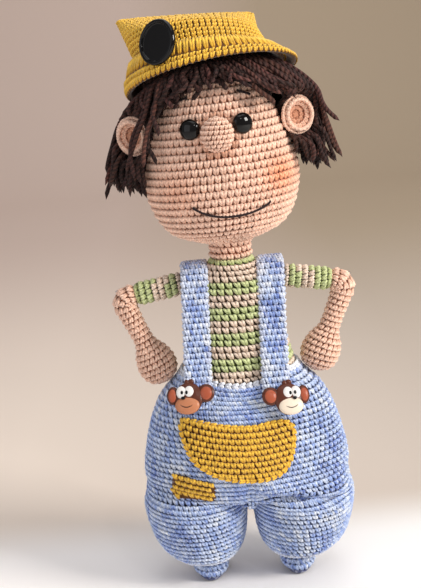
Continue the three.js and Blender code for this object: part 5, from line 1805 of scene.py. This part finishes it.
@dataclass
class Studio:
    """Pale floor and backdrop, soft lights, and the camera.

    Attributes:
        lamps: The lights.
        ambient: Strength and colour of the light from all round.
        near: Y where the floor begins, and half its width, in metres.
        curve: Y where the floor curves up, and the curve's radius, in metres.
        paper_tones_and_shade: The paper's screen colours on the left and right, each round the doll, behind it
            and far back, with painted shade on the darker right side and partly in the darker back.
        far: Y where the colours begin and end, in metres.
        aside: X to each side where the left and right colours are whole, in metres.
        eye: The camera's place, in millimetres.
        tilt: How far it looks down, in degrees.
        roll: How far it leans, in degrees.
        lens: Focal length, for a sensor of 36 mm.
    """

    lamps: tuple[Lamp, ...] = (Lamp("key_light", (1.05, -0.6, 0.75), DOLL, 0.45, 16.5, (1.0, 0.97, 0.92)),
                               Lamp("fill_light", (-0.9, -0.8, 0.5), DOLL, 0.9, 2.3, (0.98, 0.97, 1.0)),
                               Lamp("top_light", (0.1, -0.1, 1.2), DOLL, 0.9, 3.8),
                               Lamp("back_light", (0.0, 1.5, 1.5), BEHIND, 1.6, 10.0, (1.0, 0.98, 0.96)),
                               Lamp("catch_light", (0.22, -0.6, 0.72), DOLL, 0.05, 0.35))
    ambient: tuple[float, tuple[float, ...]] = (0.34, (0.92, 0.95, 1.0, 1))
    near: tuple[float, float] = (-3.0, 2.5)
    curve: tuple[float, float] = (1.6, 0.8)
    paper_tones_and_shade: tuple[Keys, Keys] = (((255, 249, 246), (236, 220, 206), (208, 187, 175)),
                                 ((246, 243, 240), (204, 190, 178), (184, 165, 142)))
    far: tuple[float, float] = (0.02, 1.22)
    aside: float = 0.16
    eye: Spot = (-12.25, -590, 289)
    tilt: float = 12.6
    roll: float = 4.7
    lens: float = 70.18

    def build(self) -> None:
        """Set up the room."""
        self.backdrop()
        for lamp in self.lamps:
            lamp.build()
        self.air()
        self.camera()

    def backdrop(self) -> None:
        """Build the floor that curves up far behind the doll."""
        front, half = self.near
        start, radius = self.curve
        line = [(front, 0.0), (start, 0.0)]
        line += [(start + radius * math.sin(a), radius - radius * math.cos(a))
                 for a in np.linspace(0.06, math.pi / 2, 24)]
        line += [(start + radius, 2.4)]
        floor = bmesh.new()
        verts = [floor.verts.new((-half, y, z)) for y, z in line]
        edges = [floor.edges.new(pair) for pair in zip(verts, verts[1:])]
        made = bmesh.ops.extrude_edge_only(floor, edges=edges)["geom"]
        moved = [v for v in made if isinstance(v, bmesh.types.BMVert)]
        bmesh.ops.translate(floor, vec=(2 * half, 0, 0), verts=moved)
        mesh = bpy.data.meshes.new("floor")
        floor.to_mesh(mesh)
        floor.free()
        mesh.shade_smooth()
        mesh.materials.append(self.paper())
        link("floor", mesh)

    def paper(self) -> Material:
        """Make the backdrop's paper, near white round the doll and warm grey further back, partly as painted
        shade, with painted shade darkening its right side.
        """
        recipe = HardFinish("backdrop_paper", tone(252, 247, 242), 0.85, unevenness=0.02, gloss=0.2).recipe()
        split = recipe.add("SeparateXYZ", Vector=recipe.places)
        back = recipe.ranged(split.outputs["Y"], 0, 1, *self.far)
        right = recipe.ranged(split.outputs["X"], 0, 1, -self.aside, self.aside)
        # The colours darken further back, partly the wall's own tone and partly painted shade, and the right
        # side's darker colours are painted shade.
        colours = []
        for shades in self.paper_tones_and_shade:
            near, middle, far = ((*tone(*shade), 1) for shade in shades)
            ramp = recipe.add("ValToRGB", Fac=back)
            ramp.color_ramp.interpolation = "EASE"
            ramp.color_ramp.elements[0].color = near
            ramp.color_ramp.elements[1].color = far
            ramp.color_ramp.elements.new(0.06).color = middle
            colours.append(ramp.outputs["Color"])
        recipe.dress("Base Color", recipe.mixed(right, *colours))
        return recipe.material

    def air(self) -> None:
        """Set the light from all round and the plain look of the picture."""
        strength, colour = self.ambient
        world = bpy.data.worlds.new("soft_room")
        world.use_nodes = True
        sky = world.node_tree.nodes["Background"]
        sky.inputs["Color"].default_value = colour
        sky.inputs["Strength"].default_value = strength
        bpy.context.scene.world = world
        bpy.context.scene.view_settings.view_transform = "Standard"

    def camera(self) -> None:
        """Place the camera at the doll's front, tilted down and slightly rolled."""
        data = bpy.data.cameras.new("camera")
        data.sensor_width = 36
        data.lens = self.lens
        tilt, roll = math.radians(self.tilt), math.radians(self.roll)
        forward = Vector((0, math.cos(tilt), -math.sin(tilt)))
        level = Vector((0, math.sin(tilt), math.cos(tilt)))
        up = level * math.cos(roll) + Vector((1, 0, 0)) * math.sin(roll)
        right = Vector((1, 0, 0)) * math.cos(roll) - level * math.sin(roll)
        turn = Matrix((right, up, -forward)).transposed().to_4x4()
        camera = link("camera", data)
        camera.matrix_world = Matrix.Translation((Vector(self.eye) + Vector((0, MIDDLE_Y, 0))) * MM) @ turn
        bpy.context.scene.camera = camera


def main() -> None:
    """Build the doll and its studio."""
    logging.basicConfig(level=logging.INFO)
    rng = np.random.default_rng(11)
    head, cap, body = Head(), Cap(), Body()
    head.build(rng)
    Hair().build(head, cap, rng)
    cap.build(rng)
    body.build(rng)
    Trousers().build(rng)
    Inside().build(head, body, rng)
    Studio().build()


if __name__ == "__main__":
    main()
